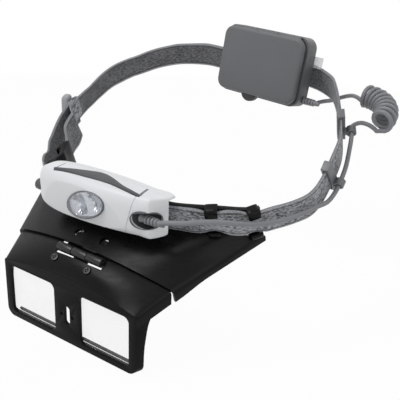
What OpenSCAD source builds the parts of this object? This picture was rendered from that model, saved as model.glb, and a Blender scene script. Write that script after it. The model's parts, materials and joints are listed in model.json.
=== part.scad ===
// Lighted headband magnifier: a flip-up two-lens visor, a lamp and a battery box on one elastic headband.
// The origin is the middle of the headband loop. +X is the wearer's left, -Y is forward and +Z is up.

/* [Headband] */
// Width of the headband loop, side to side
loop_width = 220; // [205:1:235]
// Length of the headband loop, front to back
loop_length = 180; // [170:1:195]
// Slope of the headband, its back raised, against the upright lenses
band_tilt = 19.5; // [15:0.5:24]
// Width of the webbing
strap_width = 20; // [16:0.5:24]
// Thickness of the webbing
strap_thickness = 1.5; // [1:0.1:2.2]
// Length of the buckle along the strap
buckle_length = 7; // [6:0.5:10]
// Thickness of the buckle walls
buckle_wall = 1.5; // [1.3:0.1:2.4]

/* [Brow band] */
// Thickness of the brow band
brow_thickness = 2.2; // [1.6:0.1:3]
// Height of the brow band
brow_height = 21; // [18:0.5:24]
// Width of each strap keeper on the brow band
keeper_width = 6; // [4:0.5:9]

/* [Visor] */
// Distance of the hinge line in front of the webbing
hinge_ahead = 33.2; // [30:0.2:37]
// Distance of the hinge line below the webbing's front
hinge_below = 24; // [21:0.5:27]
// Half width of the visor at the seam between plate and hood
seam_half = 63.6; // [58:0.2:68]
// Half width of the lens frame
frame_half = 55.4; // [54:0.2:60]
// Height of the lens frame at its sides
frame_height = 41; // [40:0.5:46]
// Depth of the lens frame, front to back
frame_depth = 12.5; // [10:0.5:13]
// Rise of the lens frame's arched top edge
frame_arch = 6.2; // [4:0.2:8]
// Wall of the moulded visor parts
visor_wall = 2; // [1.6:0.1:2.6]
// Depth of the turned-down sides of the visor plate
plate_side = 4.5; // [3:0.5:9]
// Depth of the turned-down sides of the hood
hood_side = 8; // [6:0.5:10]
// Width of the see-through notch for the hinge barrel
notch_width = 37.6; // [37:0.2:43]

/* [Lenses] */
// Width of one lens window
window_width = 39.2; // [36:0.2:41]
// Height of one lens window
window_height = 34.8; // [32:0.2:35]
// Gap between the two lens windows
window_gap = 21.5; // [18:0.5:24]
// Corner radius of the lens windows
window_corner = 4; // [2:0.5:6]
// Overlap of each lens behind its window
lens_lap = 1.6; // [1.2:0.1:2]
// Thickness of a lens at its middle
lens_thickness = 3.6; // [3:0.1:4.2]
// Radius of the curved lens face
lens_radius = 190; // [150:5:300]
// Distance between the two accessory screw holes
accessory_pitch = 9; // [8:0.5:12]
// Diameter of the accessory screw holes
accessory_bore = 2.4; // [1.6:0.1:3]

/* [Hinge] */
// Diameter of the hinge barrel
barrel_diameter = 6; // [5:0.2:7]
// Length of the hinge barrel
barrel_length = 36; // [28:0.5:36]
// Diameter of the hinge pin
hinge_pin_diameter = 2.5; // [2:0.1:3]
// Thickness of the hinge leaves
leaf_thickness = 1.4; // [1:0.1:2]
// Thread diameter of the hinge screws
hinge_screw_diameter = 2.5; // [2:0.1:3]
// Head diameter of the hinge screws
hinge_screw_head = 5; // [4:0.2:6]

/* [Lamp] */
// Length of the lamp, side to side
lamp_length = 100; // [96:1:106]
// Height of the lamp
lamp_height = 29.5; // [28:0.5:32]
// Wall of the lamp's shells
lamp_wall = 2; // [1.5:0.1:2.5]
// Width of the oval window
oval_width = 29; // [26:0.5:30]
// Height of the oval window
oval_height = 15.5; // [14:0.5:17]
// Diameter of each reflector cup
cup_diameter = 12; // [10:0.5:12.5]
// Diameter of the side button
side_button_diameter = 7.5; // [6:0.5:9]
// Travel of the top switch and the side button
button_travel = 1; // [0.6:0.1:1.4]

/* [Battery box] */
// Width of the battery box
box_width = 75; // [70:1:80]
// Height of the battery box
box_height = 50; // [46:1:52]
// Depth of the battery box
box_depth = 16.5; // [16:0.5:19]
// Wall of the battery box
box_wall = 2; // [1.6:0.1:2.6]
// Depth of the opening lid
lid_depth = 6; // [5:0.5:8]
// Corner radius of the battery box
box_corner = 8; // [6:0.5:11]
// Bevel around the lid's raised face
lid_bevel = 1.8; // [1.2:0.2:2.4]
// Step in from the box to its lid
lid_inset = 1; // [0.6:0.1:1.4]
// Turn of the box about its upright axis
box_yaw = -8; // [-12:1:-5]
// Backward lean of the box against the headband
box_lean = 29; // [24:1:30]
// Diameter of a battery cell
cell_diameter = 10.5; // [9:0.1:11]
// Length of a battery cell
cell_length = 44.5; // [40:0.5:46]

/* [Cord] */
// Diameter of the lamp cord
cord_diameter = 3; // [2.6:0.1:3.4]
// Outer diameter of the curly part
coil_diameter = 16.4; // [13:0.2:18]
// Bend radius of the curly part
coil_bend = 22.5; // [21:0.5:24]
// Angle that the curly part turns through
coil_angle = 100; // [90:2:110]

/* [Fits] */
// Clearance between fixed pieces that are put together
fit = 0.2; // [0.15:0.05:0.3]
// Clearance around pieces that move
play = 0.35; // [0.3:0.05:0.5]
// Running clearance around a pin
pin_play = 0.05; // [0.03:0.01:0.1]

/* [Hidden] */
fine = 48;

// Route of the webbing's middle line, seen from above in the plane of the headband, at the drawn loop size
drawn_width = 220;
drawn_length = 180;
// The hinge line and the lamp, from the middle of the headband
front_reach = 90 * loop_length / drawn_length;
front_y = front_reach * cos(band_tilt);
front_z = front_reach * sin(band_tilt);
hinge_reach = front_y + hinge_ahead;
hinge_drop = front_z + hinge_below;
lamp_reach = front_y + 33.2;
lamp_drop = front_z + 24;
strap_route = [
    [0, -90, -1], [38, -88, -1], [71, -77, -2], [90, -57, -11], [106, -28, -15], [107.5, 2, -5],
    [100, 28, -3], [83, 57, 5], [65, 79, 1], [38, 86, 2], [-25, 90.5, -1], [-54, 91, -1],
    [-78, 77, 2], [-95, 58, 1], [-107.5, 38, 0], [-111.5, 7, -6], [-107, -25, -9.5], [-91.5, -56, -11.5],
    [-72, -80, -9], [-38, -90, -4]
];
route_count = len(strap_route);
brow_end = 2.95;
keeper_places = [1.9, 2.76];
buckle_place = 15.5;
tail_end = 17;
clip_front_place = 4.72;
clip_rear_place = 6.34;

// Points on the lens frame and hood, from the hinge axis
lip_y = -11;
lip_z = -12.2;
seam_y = 4.2;
seam_z = 1.6;
seam_sweep = 7.4;
seam_fall = 10.5;
hood_bulge = [0, -5.6, 2.8];
frame_bottom = lip_z - frame_arch - frame_height;
window_top = lip_z - frame_arch - 2.6;
window_mid = window_top - window_height / 2;
window_centre = (window_gap + window_width) / 2;
lens_width = window_width + 2 * lens_lap;
lens_height = window_height + 2 * lens_lap;
face_back = lip_y + visor_wall;
retainer_front = face_back + lens_thickness - 0.7;
retainer_thickness = 1.6;
retainer_rail = 1.7;
rear_y = lip_y + frame_depth;
rear_edge = [[-18, 12.5], [-22, 9.4], [-26, 8], [-30, 7.2], [-34, 6.6], [-40, 5.8], [-46, 5.4], [-64, 5]];
side_flare = 0.36;
slot_length = 13;
slot_width = 4.4;
leaf_drop = 2.5;
upper_leaf = 19;
lower_leaf = 11.5;
hinge_shift = 2.5;
notch_ahead = 4.2;
plate_pitch = 17;
hood_pitch = 38;
upper_screw_x = 10.5;
upper_screw_y = 13.5;
lower_screw_x = 13.5;
lower_screw_y = 7.8;
knuckle = barrel_length / 3;

// Lamp, from the hinge axis
lamp_middle = 29.4;
lamp_front_y = 8.4;
lamp_back_y = 36.6;
lamp_half = lamp_length / 2;
lamp_split = 27;
lamp_cavity_back = 29;
cap_from = 30;
cap_slope = 13.5;
oval_turn = -21;
oval_at = [-2.2, 28.4];
switch_from = -36;
switch_to = 29;
board_front = 20.4;
board_thickness = 1.6;
board_length = 64;
board_height = 19;
socket_at = [41, 16, 28.6];
relief_diameter = 7;
relief_length = 13;

// Battery box, from its own front face
box_place = 9.4;
box_at = [14, strap_centre(box_place).y - 20.4, 14.5];
box_roll = 2;
lid_pin_diameter = 1.6;
lid_knuckle = 3.2;
lid_hinge_y = lid_depth;
lid_hinge_z = box_height / 2 - lid_knuckle / 2 - 0.2;
latch_width = 15;
latch_drop = 4.5;
cell_pitch = cell_diameter + 1;
cell_x = -7;
cell_y = box_depth - box_wall - cell_diameter / 2 - 0.3;
contact_gap = 4;

// Cord route in the plane of the headband
cord_front_route = [
    [50, -104, 11], [57, -102, 12], [64, -98, 11], [70, -93, 10], [77, -86, 7], [84, -77, 1],
    [91, -67, -5], [98, -55, -10], [103, -46, -12], [107, -37, -14], [110, -29, -15],
    [113, -20, -17], [113.6, -10, -16.3], [113.4, -1, -13], [111.6, 10, -10.5], [107.5, 24, -8], [105, 32.5, -4.6],
    [102.9, 37, -4], [101, 40.5, -3.6], [101.3, 45, -3.4], [104.5, 48.7, -3.5], [109.5, 49, -4], [114.5, 46.5, -4],
    [119, 42.5, -3.4]
];
box_relief_at = [box_width / 2, 13, -box_height / 2 + 6];
box_relief_diameter = 5.4;
relief_out = box_relief_at + [10, 0, 0];
cord_rear_route = concat([from_box(relief_out)],
    [[63, 73, -10.5], [70, 77, -10], [77, 79, -7], [85, 77, -3], [92, 71.5, 0], [99.5, 67, 1.5]]);
coil_centre = [99.5, 44.2, 6];
cord_sides = 8;

function unit(v) = v / norm(v);
function turn_x(p, a) = [p.x, p.y * cos(a) - p.z * sin(a), p.y * sin(a) + p.z * cos(a)];
function turn_y(p, a) = [p.x * cos(a) + p.z * sin(a), p.y, p.z * cos(a) - p.x * sin(a)];
function turn_z(p, a) = [p.x * cos(a) - p.y * sin(a), p.x * sin(a) + p.y * cos(a), p.z];
function from_box(p) = box_at + turn_z(turn_x(turn_y(p, -box_roll), -box_lean), box_yaw);
function wrap(i) = ((i % route_count) + route_count) % route_count;
function cubic(a, b, c, d, t) =
    0.5 * (2 * b + (c - a) * t + (2 * a - 5 * b + 4 * c - d) * t * t + (3 * b - a - 3 * c + d) * t * t * t);
function route_at(s) = let (i = floor(s), t = s - i)
    cubic(strap_route[wrap(i - 1)], strap_route[wrap(i)], strap_route[wrap(i + 1)], strap_route[wrap(i + 2)], t);
function strap_centre(s) = let (p = route_at(s))
    [p.x * loop_width / drawn_width, p.y * loop_length / drawn_length, p.z];
function strap_tangent(s) = let (d = strap_centre(s + 0.02) - strap_centre(s - 0.02)) unit([d.x, d.y, 0]);
function strap_out(s) = let (t = strap_tangent(s)) [t.y, -t.x, 0];
function strap_point(s, off, rise) = strap_centre(s) + off * strap_out(s) + [0, 0, rise];
function spread(a, b, steps) = [for (i = [0:steps]) a + (b - a) * i / steps];

// Turns a point of the headband's frame into the hinge's frame
function to_hinge(p) = turn_x(p, band_tilt) + [0, hinge_reach, hinge_drop];

// A closed skin through rings of points, each ring counterclockwise when seen from the last ring
module loft(rings) {
    n = len(rings[0]);
    m = len(rings);
    polyhedron(
        points = [for (r = rings) each r],
        faces = concat(
            [[for (j = [0:n - 1]) j]],
            [[for (j = [n - 1:-1:0]) (m - 1) * n + j]],
            [for (i = [0:m - 2]) for (j = [0:n - 1]) [i * n + j, (i + 1) * n + j, (i + 1) * n + (j + 1) % n]],
            [for (i = [0:m - 2]) for (j = [0:n - 1]) [i * n + j, (i + 1) * n + (j + 1) % n, i * n + (j + 1) % n]]
        ),
        convexity = 8
    );
}

// A strip that follows the strap's route between two places, from off_a to off_b outward and low to high upward
module ribbon(from, to, off_a, off_b, low, high, steps) {
    loft([for (s = spread(from, to, steps)) [
        strap_point(s, off_a, low), strap_point(s, off_a, high),
        strap_point(s, off_b, high), strap_point(s, off_b, low)
    ]]);
}

// A round tube along a list of points
module tube(points, diameter, sides) {
    last = len(points) - 1;
    loft([for (i = [0:last])
        let (
            t = unit(points[min(i + 1, last)] - points[max(i - 1, 0)]),
            u = unit(cross(t, [0.12, 0.1, 1])),
            v = cross(t, u)
        )
        [for (k = [0:sides - 1]) points[i]
            + diameter / 2 * (cos(360 * k / sides) * u + sin(360 * k / sides) * v)]
    ]);
}

function smooth_route(points, cuts) = let (last = len(points) - 1) concat(
    [for (i = [0:last - 1]) for (k = [0:cuts - 1]) cubic(
        points[max(i - 1, 0)], points[i], points[i + 1], points[min(i + 2, last)], k / cuts)],
    [points[last]]
);

function oval(half_x, half_y, power, count) = [for (i = [0:count - 1])
    let (a = 360 * i / count)
    [half_x * sign(cos(a)) * pow(abs(cos(a)), 2 / power), half_y * sign(sin(a)) * pow(abs(sin(a)), 2 / power)]
];

module in_band() rotate([band_tilt, 0, 0]) children();
module at_hinge() translate([0, -hinge_reach, -hinge_drop]) children();
module at_lamp() translate([0, -lamp_reach, -lamp_drop]) children();
module at_box() in_band() translate(box_at) rotate([0, 0, box_yaw]) rotate([-box_lean, 0, 0]) rotate([0, -box_roll, 0]) children();
module along_x(d, length, sides = fine) rotate([0, 90, 0]) cylinder(h = length, d = d, center = true, $fn = sides);
module along_y(d, length, sides = fine) rotate([-90, 0, 0]) cylinder(h = length, d = d, $fn = sides);

// A flat plate that stands across Y with rounded corners, from y upward
module upright_plate(w, h, r, y, depth) {
    translate([0, y + depth, 0]) rotate([90, 0, 0]) linear_extrude(depth) rounded(w, h, r);
}
module rounded(w, h, r) {
    hull_free_w = w - 2 * r;
    hull_free_h = h - 2 * r;
    square([w, hull_free_h], center = true);
    square([hull_free_w, h], center = true);
    for (i = [-1, 1], j = [-1, 1])
        translate([i * hull_free_w / 2, j * hull_free_h / 2]) circle(r = r, $fn = fine);
}
// Local frame on the strap: +X along it, -Y outward, +Z across it
module on_strap(s, rise = 0) {
    t = strap_tangent(s);
    translate(strap_centre(s) + [0, 0, rise]) rotate([0, 0, atan2(t.y, t.x)]) children();
}

// The same, leaning with the strap where its route climbs
module along_strap(s) {
    d = strap_centre(s + 0.05) - strap_centre(s - 0.05);
    on_strap(s) rotate([0, -atan2(d.z, norm([d.x, d.y])), 0]) children();
}

// Visor plate and hood surfaces
function seam_point(u) = [u * seam_half, seam_y + seam_sweep * u * u, seam_z - seam_fall * u * u];
function lip_point(u) = [u * frame_half, lip_y, lip_z - frame_arch * u * u];
function brow_foot(u) = to_hinge(strap_point(u * brow_end, -brow_outer, brow_low - 0.1));
brow_outer = strap_thickness / 2 + 0.4;
brow_inner = brow_outer + brow_thickness;
brow_low = -strap_width / 2 - 1;
brow_high = brow_low + brow_height;

module plate_skin(from, to, drop, steps) {
    down = [0, visor_wall * 0.3, -visor_wall];
    loft([for (u = spread(from, to, steps))
        let (front = seam_point(u) + [0, play, 0], back = brow_foot(u))
        [front + down * drop, back + down * drop, back, front]
    ]);
}

module visor_plate() {
    color("#1c1c1f") at_hinge() difference() {
        union() {
            plate_skin(-1, 1, 1, 32);
            for (side = [-1, 1]) plate_side_wall(side);
            at_upper_screws() translate([0, 0, -leaf_drop]) cylinder(d = hinge_screw_head + 2, h = 2, $fn = fine);
        }
        notch(0);
        leaf_seat(plate_pitch, 1);
        at_upper_screws() translate([0, 0, -6]) cylinder(d = hinge_screw_diameter + fit, h = 20, $fn = fine);
        at_upper_screws() translate([0, 0, -0.2]) cylinder(d = hinge_screw_head + 2 * fit, h = 20, $fn = fine);
    }
}

module plate_side_wall(side) {
    u0 = side > 0 ? 1 - visor_wall / seam_half : -1;
    plate_skin(u0, u0 + visor_wall / seam_half, plate_side / visor_wall, 2);
}

// Clearance for the barrel, cut through the plate's front and the hood's back
module notch(behind) {
    rotate([plate_pitch, 0, 0]) translate([hinge_shift - notch_width / 2, -notch_ahead, -4.6])
        cube([notch_width, notch_ahead + 4.4 + behind, 9.2]);
}

// Flat seat under the plate or the hood for a hinge leaf
module leaf_seat(pitch, sign_y) {
    reach = upper_leaf + 1;
    rotate([pitch, 0, 0]) translate([hinge_shift - barrel_length / 2 - fit, sign_y > 0 ? 0 : -reach, -leaf_drop - 5.98])
        cube([barrel_length + 2 * fit, reach, 6]);
}

module at_upper_screws() {
    for (side = [-1, 1]) rotate([plate_pitch, 0, 0]) translate([side * upper_screw_x, upper_screw_y, 0]) children();
}
module at_lower_screws() {
    for (side = [-1, 1]) rotate([hood_pitch, 0, 0]) translate([side * lower_screw_x, -lower_screw_y, 0]) children();
}

module brow_band() {
    color("#1a1a1c") in_band() {
        ribbon(-brow_end, brow_end, -brow_inner, -brow_outer, brow_low, brow_high, 44);
        for (side = [-1, 1], s = keeper_places) strap_keeper(side * s);
    }
}

// A bar that holds the strap against the brow band, with a round boss
module strap_keeper(s) {
    bar_out = strap_thickness + 2.2;
    on_strap(s) difference() {
        union() {
            translate([-keeper_width / 2, -bar_out, brow_low - 1.8]) cube([keeper_width, bar_out + brow_inner, brow_height + 3.6]);
            translate([0, -bar_out - 0.8, 0]) along_y(keeper_width, 2);
        }
        translate([-keeper_width, -strap_thickness / 2 - 0.6, -strap_width / 2 - 0.6])
            cube([2 * keeper_width, strap_thickness + 1, strap_width + 1.2]);
    }
}

// Hinge
module leaf(length, half, sign_y) {
    translate([hinge_shift - half, sign_y > 0 ? 0 : -length, -leaf_drop - leaf_thickness])
        cube([2 * half, length, leaf_thickness]);
}

module knuckle_tube(x, length) {
    translate([hinge_shift + x, 0, 0]) along_x(barrel_diameter, length);
}

module hinge_leaf_upper() {
    color("#161617") at_hinge() difference() {
        union() {
            rotate([plate_pitch, 0, 0]) difference() {
                leaf(upper_leaf, barrel_length / 2 - 0.4, 1);
                translate([hinge_shift - knuckle / 2 - play, -barrel_diameter, -8])
                    cube([knuckle + 2 * play, barrel_diameter * 1.6, 10]);
            }
            for (side = [-1, 1]) knuckle_tube(side * (knuckle + play / 2), knuckle - play);
        }
        translate([hinge_shift, 0, 0]) along_x(hinge_pin_diameter, barrel_length + 2);
        at_upper_screws() translate([0, 0, -8]) cylinder(d = hinge_screw_diameter, h = 10, $fn = fine);
    }
}

module hinge_leaf_lower() {
    color("#161617") at_hinge() difference() {
        union() {
            rotate([hood_pitch, 0, 0]) difference() {
                leaf(lower_leaf, barrel_length / 2 - 0.4, -1);
                for (side = [-1, 1])
                    translate([hinge_shift + side * knuckle - knuckle / 2 - play, -barrel_diameter / 2 - play - 0.1, -8])
                        cube([knuckle + 2 * play, barrel_diameter * 2, 10]);
            }
            knuckle_tube(0, knuckle - play);
        }
        translate([hinge_shift, 0, 0]) along_x(hinge_pin_diameter + 2 * pin_play, barrel_length + 2);
        at_lower_screws() translate([0, 0, -8]) cylinder(d = hinge_screw_diameter, h = 10, $fn = fine);
    }
}

module hinge_pin() {
    color("#3a3a3c") at_hinge() translate([hinge_shift, 0, 0]) along_x(hinge_pin_diameter, barrel_length);
}

module hinge_screw(length) {
    difference() {
        union() {
            translate([0, 0, -0.2]) cylinder(d = hinge_screw_head, h = 1.2, $fn = fine);
            translate([0, 0, -length]) cylinder(d = hinge_screw_diameter, h = length, $fn = fine);
        }
        for (turn = [0, 90]) rotate([0, 0, turn]) translate([-1.4, -0.35, 0.4]) cube([2.8, 0.7, 2]);
    }
}

module hinge_screws_upper() {
    color("#2e2e30") at_hinge() at_upper_screws() hinge_screw(leaf_drop + leaf_thickness);
}
module hinge_screws_lower() {
    color("#2e2e30") at_hinge() at_lower_screws() hinge_screw(leaf_drop + leaf_thickness);
}

// The hood between the seam and the lens frame
hood_rows = 6;
function hood_point(u, t) =
    let (a = seam_point(u) - [0, play, 0], b = lip_point(u), c = (a + b) / 2 + hood_bulge * (1 - u * u))
    a * (1 - t) * (1 - t) + c * 2 * t * (1 - t) + b * t * t;

module hood_skin(from, to, down, steps) {
    loft([for (u = spread(from, to, steps)) concat(
        [for (t = spread(1, 0, hood_rows)) hood_point(u, t) + down],
        [for (t = spread(0, 1, hood_rows)) hood_point(u, t)]
    )]);
}

module lens_hood() {
    color("#1c1c1f") at_hinge() difference() {
        union() {
            hood_skin(-1, 1, [0, visor_wall * 0.3, -visor_wall * 0.9], 32);
            hood_skin(-1, -1 + visor_wall / frame_half, [0, 0, -hood_side], 2);
            hood_skin(1 - visor_wall / frame_half, 1, [0, 0, -hood_side], 2);
            at_lower_screws() translate([0, 0, -leaf_drop]) cylinder(d = hinge_screw_head + 2, h = 2.4, $fn = fine);
        }
        notch(4);
        leaf_seat(hood_pitch, -1);
        translate([-frame_half - 15, lip_y - 20, -80]) cube([2 * frame_half + 30, 20 + play, 90]);
        at_lower_screws() translate([0, 0, -6]) cylinder(d = hinge_screw_diameter + fit, h = 20, $fn = fine);
        at_lower_screws() translate([0, 0, -0.2]) cylinder(d = hinge_screw_head + 2 * fit, h = 20, $fn = fine);
        below_hood();
    }
}

// Everything that the lens frame and its lip take up behind the hood's front edge
module below_hood() {
    translate([0, 0, 0.04]) scale([1.0015, 1, 1]) frame_shell(0, 1);
}

// Outline of the lens frame, seen from the front, with its arched top edge
module frame_outline(inset) {
    arch_radius = (frame_half * frame_half + frame_arch * frame_arch) / (2 * frame_arch);
    tall = lip_z - frame_bottom;
    intersection() {
        translate([0, lip_z - arch_radius]) circle(r = arch_radius - inset, $fn = 200);
        translate([0, frame_bottom + tall / 2 + 4]) rounded(2 * (frame_half - inset), tall + 8 - 2 * inset, 6 - inset);
    }
}

module window_cut(side, w, h, r, y, depth) {
    translate([side * window_centre, 0, window_mid]) upright_plate(w, h, r, y, depth);
}

module lens_frame() {
    color("#1a1a1c") at_hinge() difference() {
        frame_shell(0, 0);
        frame_shell(visor_wall, 1);
        for (side = [-1, 1]) window_cut(side, window_width, window_height, window_corner, lip_y - 1, visor_wall + 2);
        translate([0, 0, window_mid - 1]) upright_plate(slot_width, slot_length, slot_width / 2 - 0.01, lip_y - 1, visor_wall + 2);
        at_accessory_holes() along_y(accessory_bore, visor_wall + 2);
        translate([-frame_half - 15, 0, 0]) rotate([90, 0, 90]) linear_extrude(2 * frame_half + 30)
            polygon(concat([for (p = rear_edge) [lip_y + p[1], p[0]]], [[rear_y + 20, -64], [rear_y + 20, -18]]));
        translate([-frame_half - 15, rear_y, -80]) cube([2 * frame_half + 30, 20, 90]);
    }
    color("#1a1a1c") at_hinge() at_retainer_screws() difference() {
        along_y(4.4, retainer_front - face_back - 0.02);
        along_y(1.8, retainer_front - face_back + 1);
    }
}

// The frame's outline drawn back from its face, its sides flaring out as the hood's do
module frame_shell(inset, ahead) {
    from = lip_y + (inset > 0 ? visor_wall : 0);
    translate([0, lip_y + frame_depth + ahead, 0]) rotate([90, 0, 0])
        linear_extrude(frame_depth + ahead - (from - lip_y), scale = [(frame_half - inset + (from - lip_y) * side_flare)
            / (frame_half - inset + (frame_depth + ahead) * side_flare), 1])
            scale([(frame_half - inset + (frame_depth + ahead) * side_flare) / (frame_half - inset), 1]) frame_outline(inset);
}

module at_accessory_holes() {
    for (side = [-1, 1]) translate([side * accessory_pitch / 2, lip_y - 1, window_mid - 1]) children();
}
module at_retainer_screws() {
    for (z = [window_mid + 14.5, window_mid - 15.5]) translate([0, face_back, z]) children();
}

module lens(side) {
    translate([side * window_centre, 0, window_mid]) intersection() {
        upright_plate(lens_width - fit, lens_height - fit, window_corner, face_back, lens_thickness + 1);
        translate([0, face_back + lens_thickness - lens_radius, 0]) sphere(r = lens_radius, $fn = 160);
    }
}
module lens_left() { color("#dfe6ea") at_hinge() lens(1); }
module lens_right() { color("#dfe6ea") at_hinge() lens(-1); }

module lens_retainer() {
    web = window_gap - 9;
    outer = 2 * window_centre + window_width;
    color("#19191a") at_hinge() difference() {
        translate([0, 0, window_mid]) difference() {
            upright_plate(outer, window_height + 2, 2, retainer_front, retainer_thickness);
            for (side = [-1, 1]) translate([side * (outer + web) / 4, 0, -0.3]) rotate([-90, 0, 0]) translate([0, 0, retainer_front - 1])
                linear_extrude(retainer_thickness + 2) square([(outer - web) / 2 + 0.1, window_height + 2 - 2 * retainer_rail], center = true);
        }
        translate([0, 0, window_mid - 2.5]) upright_plate(web + 3, 19, 1.4, retainer_front - 1, retainer_thickness + 2);
        at_retainer_screws() along_y(2.2, 20);
    }
}

module retainer_screws() {
    color("#8d8f92") at_hinge() at_retainer_screws() {
        translate([0, retainer_front - face_back - 2.6, 0]) along_y(1.8, 2.6 + retainer_thickness);
        translate([0, retainer_front - face_back + retainer_thickness, 0]) along_y(3.4, 1.1);
    }
}

// Lamp
function lamp_rows(x, inset) =
    let (
        s = max(-0.99, min(0.99, x / (lamp_half - inset))),
        power = s < 0 ? 6 : 8.5,
        high = (lamp_height / 2 - inset - 1.25 * s - 0.7 * s * s) * pow(1 - pow(abs(s), power), 1 / power),
        front = lamp_front_y + 8.7 * s * s + 1.05 * s + inset,
        back = lamp_back_y - 3.3 * s * s + 1.05 * s - inset
    )
    [high, lamp_middle + 0.8 * s - 1.35 * s * s, (back - front) / 2 * pow(1 - pow(s, 10), 0.1), (front + back) / 2];
function lamp_station(x, inset) =
    let (q = lamp_rows(x, inset))
    [for (o = oval(q[2], q[0], 4, 28)) [x, q[3] + o.x, q[1] + o.y]];
function lamp_surface(x, y) =
    let (q = lamp_rows(x, 0))
    q[1] + q[0] * pow(1 - pow(abs(y - q[3]) / q[2], 4), 0.25);

module lamp_solid(inset) {
    reach = (lamp_half - inset) * 0.99;
    half = [0, 0.18, 0.34, 0.48, 0.6, 0.7, 0.78, 0.85, 0.9, 0.94, 0.97, 1];
    loft([for (i = [-11:11]) lamp_station(sign(i) * half[abs(i)] * reach, inset)]);
}

module lamp_shell() {
    difference() {
        lamp_solid(0);
        intersection() {
            lamp_solid(lamp_wall);
            translate([-60, -10, 0]) cube([120, lamp_cavity_back + 10, 60]);
        }
    }
}

module before_cap(from, to) {
    translate([cap_from, 0, lamp_middle]) rotate([0, cap_slope, 0]) translate([from, -10, -50]) cube([to - from, lamp_split + 10, 100]);
}

module oval_prism(half_x, half_z, y0, y1) {
    translate([oval_at.x, y1, oval_at.y]) rotate([0, oval_turn, 0]) rotate([90, 0, 0]) linear_extrude(y1 - y0)
        polygon(oval(half_x, half_z, 2, 48));
}

module lamp_front() {
    color("#dfe2e6") at_lamp() difference() {
        union() {
            intersection() {
                lamp_shell();
                before_cap(-120, 0);
            }
            intersection() {
                lamp_solid(0.6);
                union() {
                    at_lamp_screws() translate([0, 9 - board_front, 0]) along_y(5, board_front - 9);
                }
            }
        }
        oval_prism(oval_width / 2 + 2, oval_height / 2 + 2, 0, 14);
        switch_body(play, 6, 2);
        side_button_hole();
        at_lamp_screws() translate([0, -5, 0]) along_y(1.6, 6);
    }
}

module at_lamp_screws() {
    for (x = [-26, 24], z = [-6, 6]) translate([x, board_front, lamp_middle + z]) children();
}

module lamp_back() {
    color("#6f7276") at_lamp() difference() {
        intersection() {
            lamp_shell();
            translate([-60, lamp_split, 0]) cube([120, 20, 60]);
        }
        strap_channel();
    }
}

// Room for the strap and the brow band behind the lamp
module strap_channel() {
    translate([0, lamp_reach, lamp_drop]) in_band()
        ribbon(-2.2, 2.2, -20, strap_thickness / 2 + 0.12, -24, strap_width / 2 + play, 32);
}

module lamp_end_cap() {
    color("#dfe2e6") at_lamp() difference() {
        intersection() {
            lamp_shell();
            before_cap(0, 60);
        }
        translate([socket_at.x - 5, socket_at.y, socket_at.z]) rotate([0, 90, 0]) cylinder(d = relief_diameter + 2 * fit, h = 30, $fn = fine);
        switch_body(play, 6, 2);
    }
}

module lamp_bezel() {
    color("#c3c8cd") at_lamp() difference() {
        oval_prism(oval_width / 2 + 2, oval_height / 2 + 2, lamp_front_y - 0.9, lamp_front_y + 4);
        oval_prism(oval_width / 2, oval_height / 2, lamp_front_y - 2, lamp_front_y + 2);
        oval_prism(oval_width / 2 - 0.8, oval_height / 2 - 0.8, lamp_front_y, lamp_front_y + 6);
    }
}

module lamp_window() {
    color("#c9d2d6") at_lamp() oval_prism(oval_width / 2, oval_height / 2, lamp_front_y + 0.2, lamp_front_y + 2);
}

module at_cups() {
    for (side = [-1, 1]) translate([oval_at.x, 0, oval_at.y]) rotate([0, oval_turn, 0]) translate([side * (cup_diameter / 2 + 0.6), 0, 0]) children();
}

module lamp_reflector() {
    front = lamp_front_y + 4;
    deep = board_front - 1 - front;
    color("#b9bcbf") at_lamp() difference() {
        intersection() {
            translate([oval_at.x, front, oval_at.y]) rotate([0, oval_turn, 0])
                translate([-cup_diameter - 1.8, 0, -cup_diameter / 2 - 0.8]) cube([2 * cup_diameter + 3.6, deep, cup_diameter + 1.6]);
            lamp_solid(lamp_wall + 0.3);
        }
        at_cups() translate([0, front - 0.01, 0]) rotate([-90, 0, 0])
            cylinder(d1 = cup_diameter, d2 = 5.2, h = deep + 0.02, $fn = fine);
    }
}

module lamp_leds() {
    color("#f2efe2") at_lamp() at_cups() {
        translate([-1.75, board_front - 1, -1.75]) cube([3.5, 1, 3.5]);
        translate([0, board_front - 1, 0]) intersection() {
            sphere(d = 3, $fn = 32);
            translate([-3, -3, -3]) cube([6, 3.2, 6]);
        }
    }
}

module lamp_board() {
    color("#23503a") at_lamp() difference() {
        union() {
            translate([-board_length / 2, board_front, lamp_middle - board_height / 2])
                cube([board_length, board_thickness, board_height]);
            translate([-6, board_front + board_thickness, lamp_middle + 4]) cube([6, 4, 5]);
            translate([-board_length / 2, board_front + board_thickness, lamp_middle - 3]) cube([5, 4, 6]);
            translate([8, board_front + board_thickness, lamp_middle - 8]) cube([10, 2, 8]);
        }
        at_lamp_screws() translate([0, -1, 0]) along_y(2.2, 5);
    }
}

module lamp_screws() {
    color("#8d8f92") at_lamp() at_lamp_screws() {
        translate([0, -4, 0]) along_y(1.6, 4 + board_thickness);
        translate([0, board_thickness, 0]) along_y(3.4, 1.1);
    }
}

// The swept top switch: narrow at both ends and wide a little to the wearer's right
switch_plan = [
    [-33, 14.3, 15.3], [-27, 14.3, 16.2], [-19, 14.5, 19], [-11, 14.8, 22.2], [-6, 15, 24.2],
    [-1, 15.5, 25.2], [4.5, 16, 24.6], [12, 16.4, 22], [20, 16, 18.9], [28, 15.8, 17.6], [34.5, 16, 17]
];
module switch_body(grow, low, rise) {
    loft([for (q = switch_plan)
        let (
            x = q.x + grow * (q.x < -30 ? -1 : (q.x > 25 ? 1 : 0)),
            a = q.y - grow,
            b = q.z + grow,
            top_a = lamp_surface(q.x, q.y),
            top_b = lamp_surface(q.x, q.z)
        )
        [[x, a, top_a - low], [x, b, top_b - low], [x, b, top_b + rise], [x, a, top_a + rise]]
    ]);
}

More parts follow.
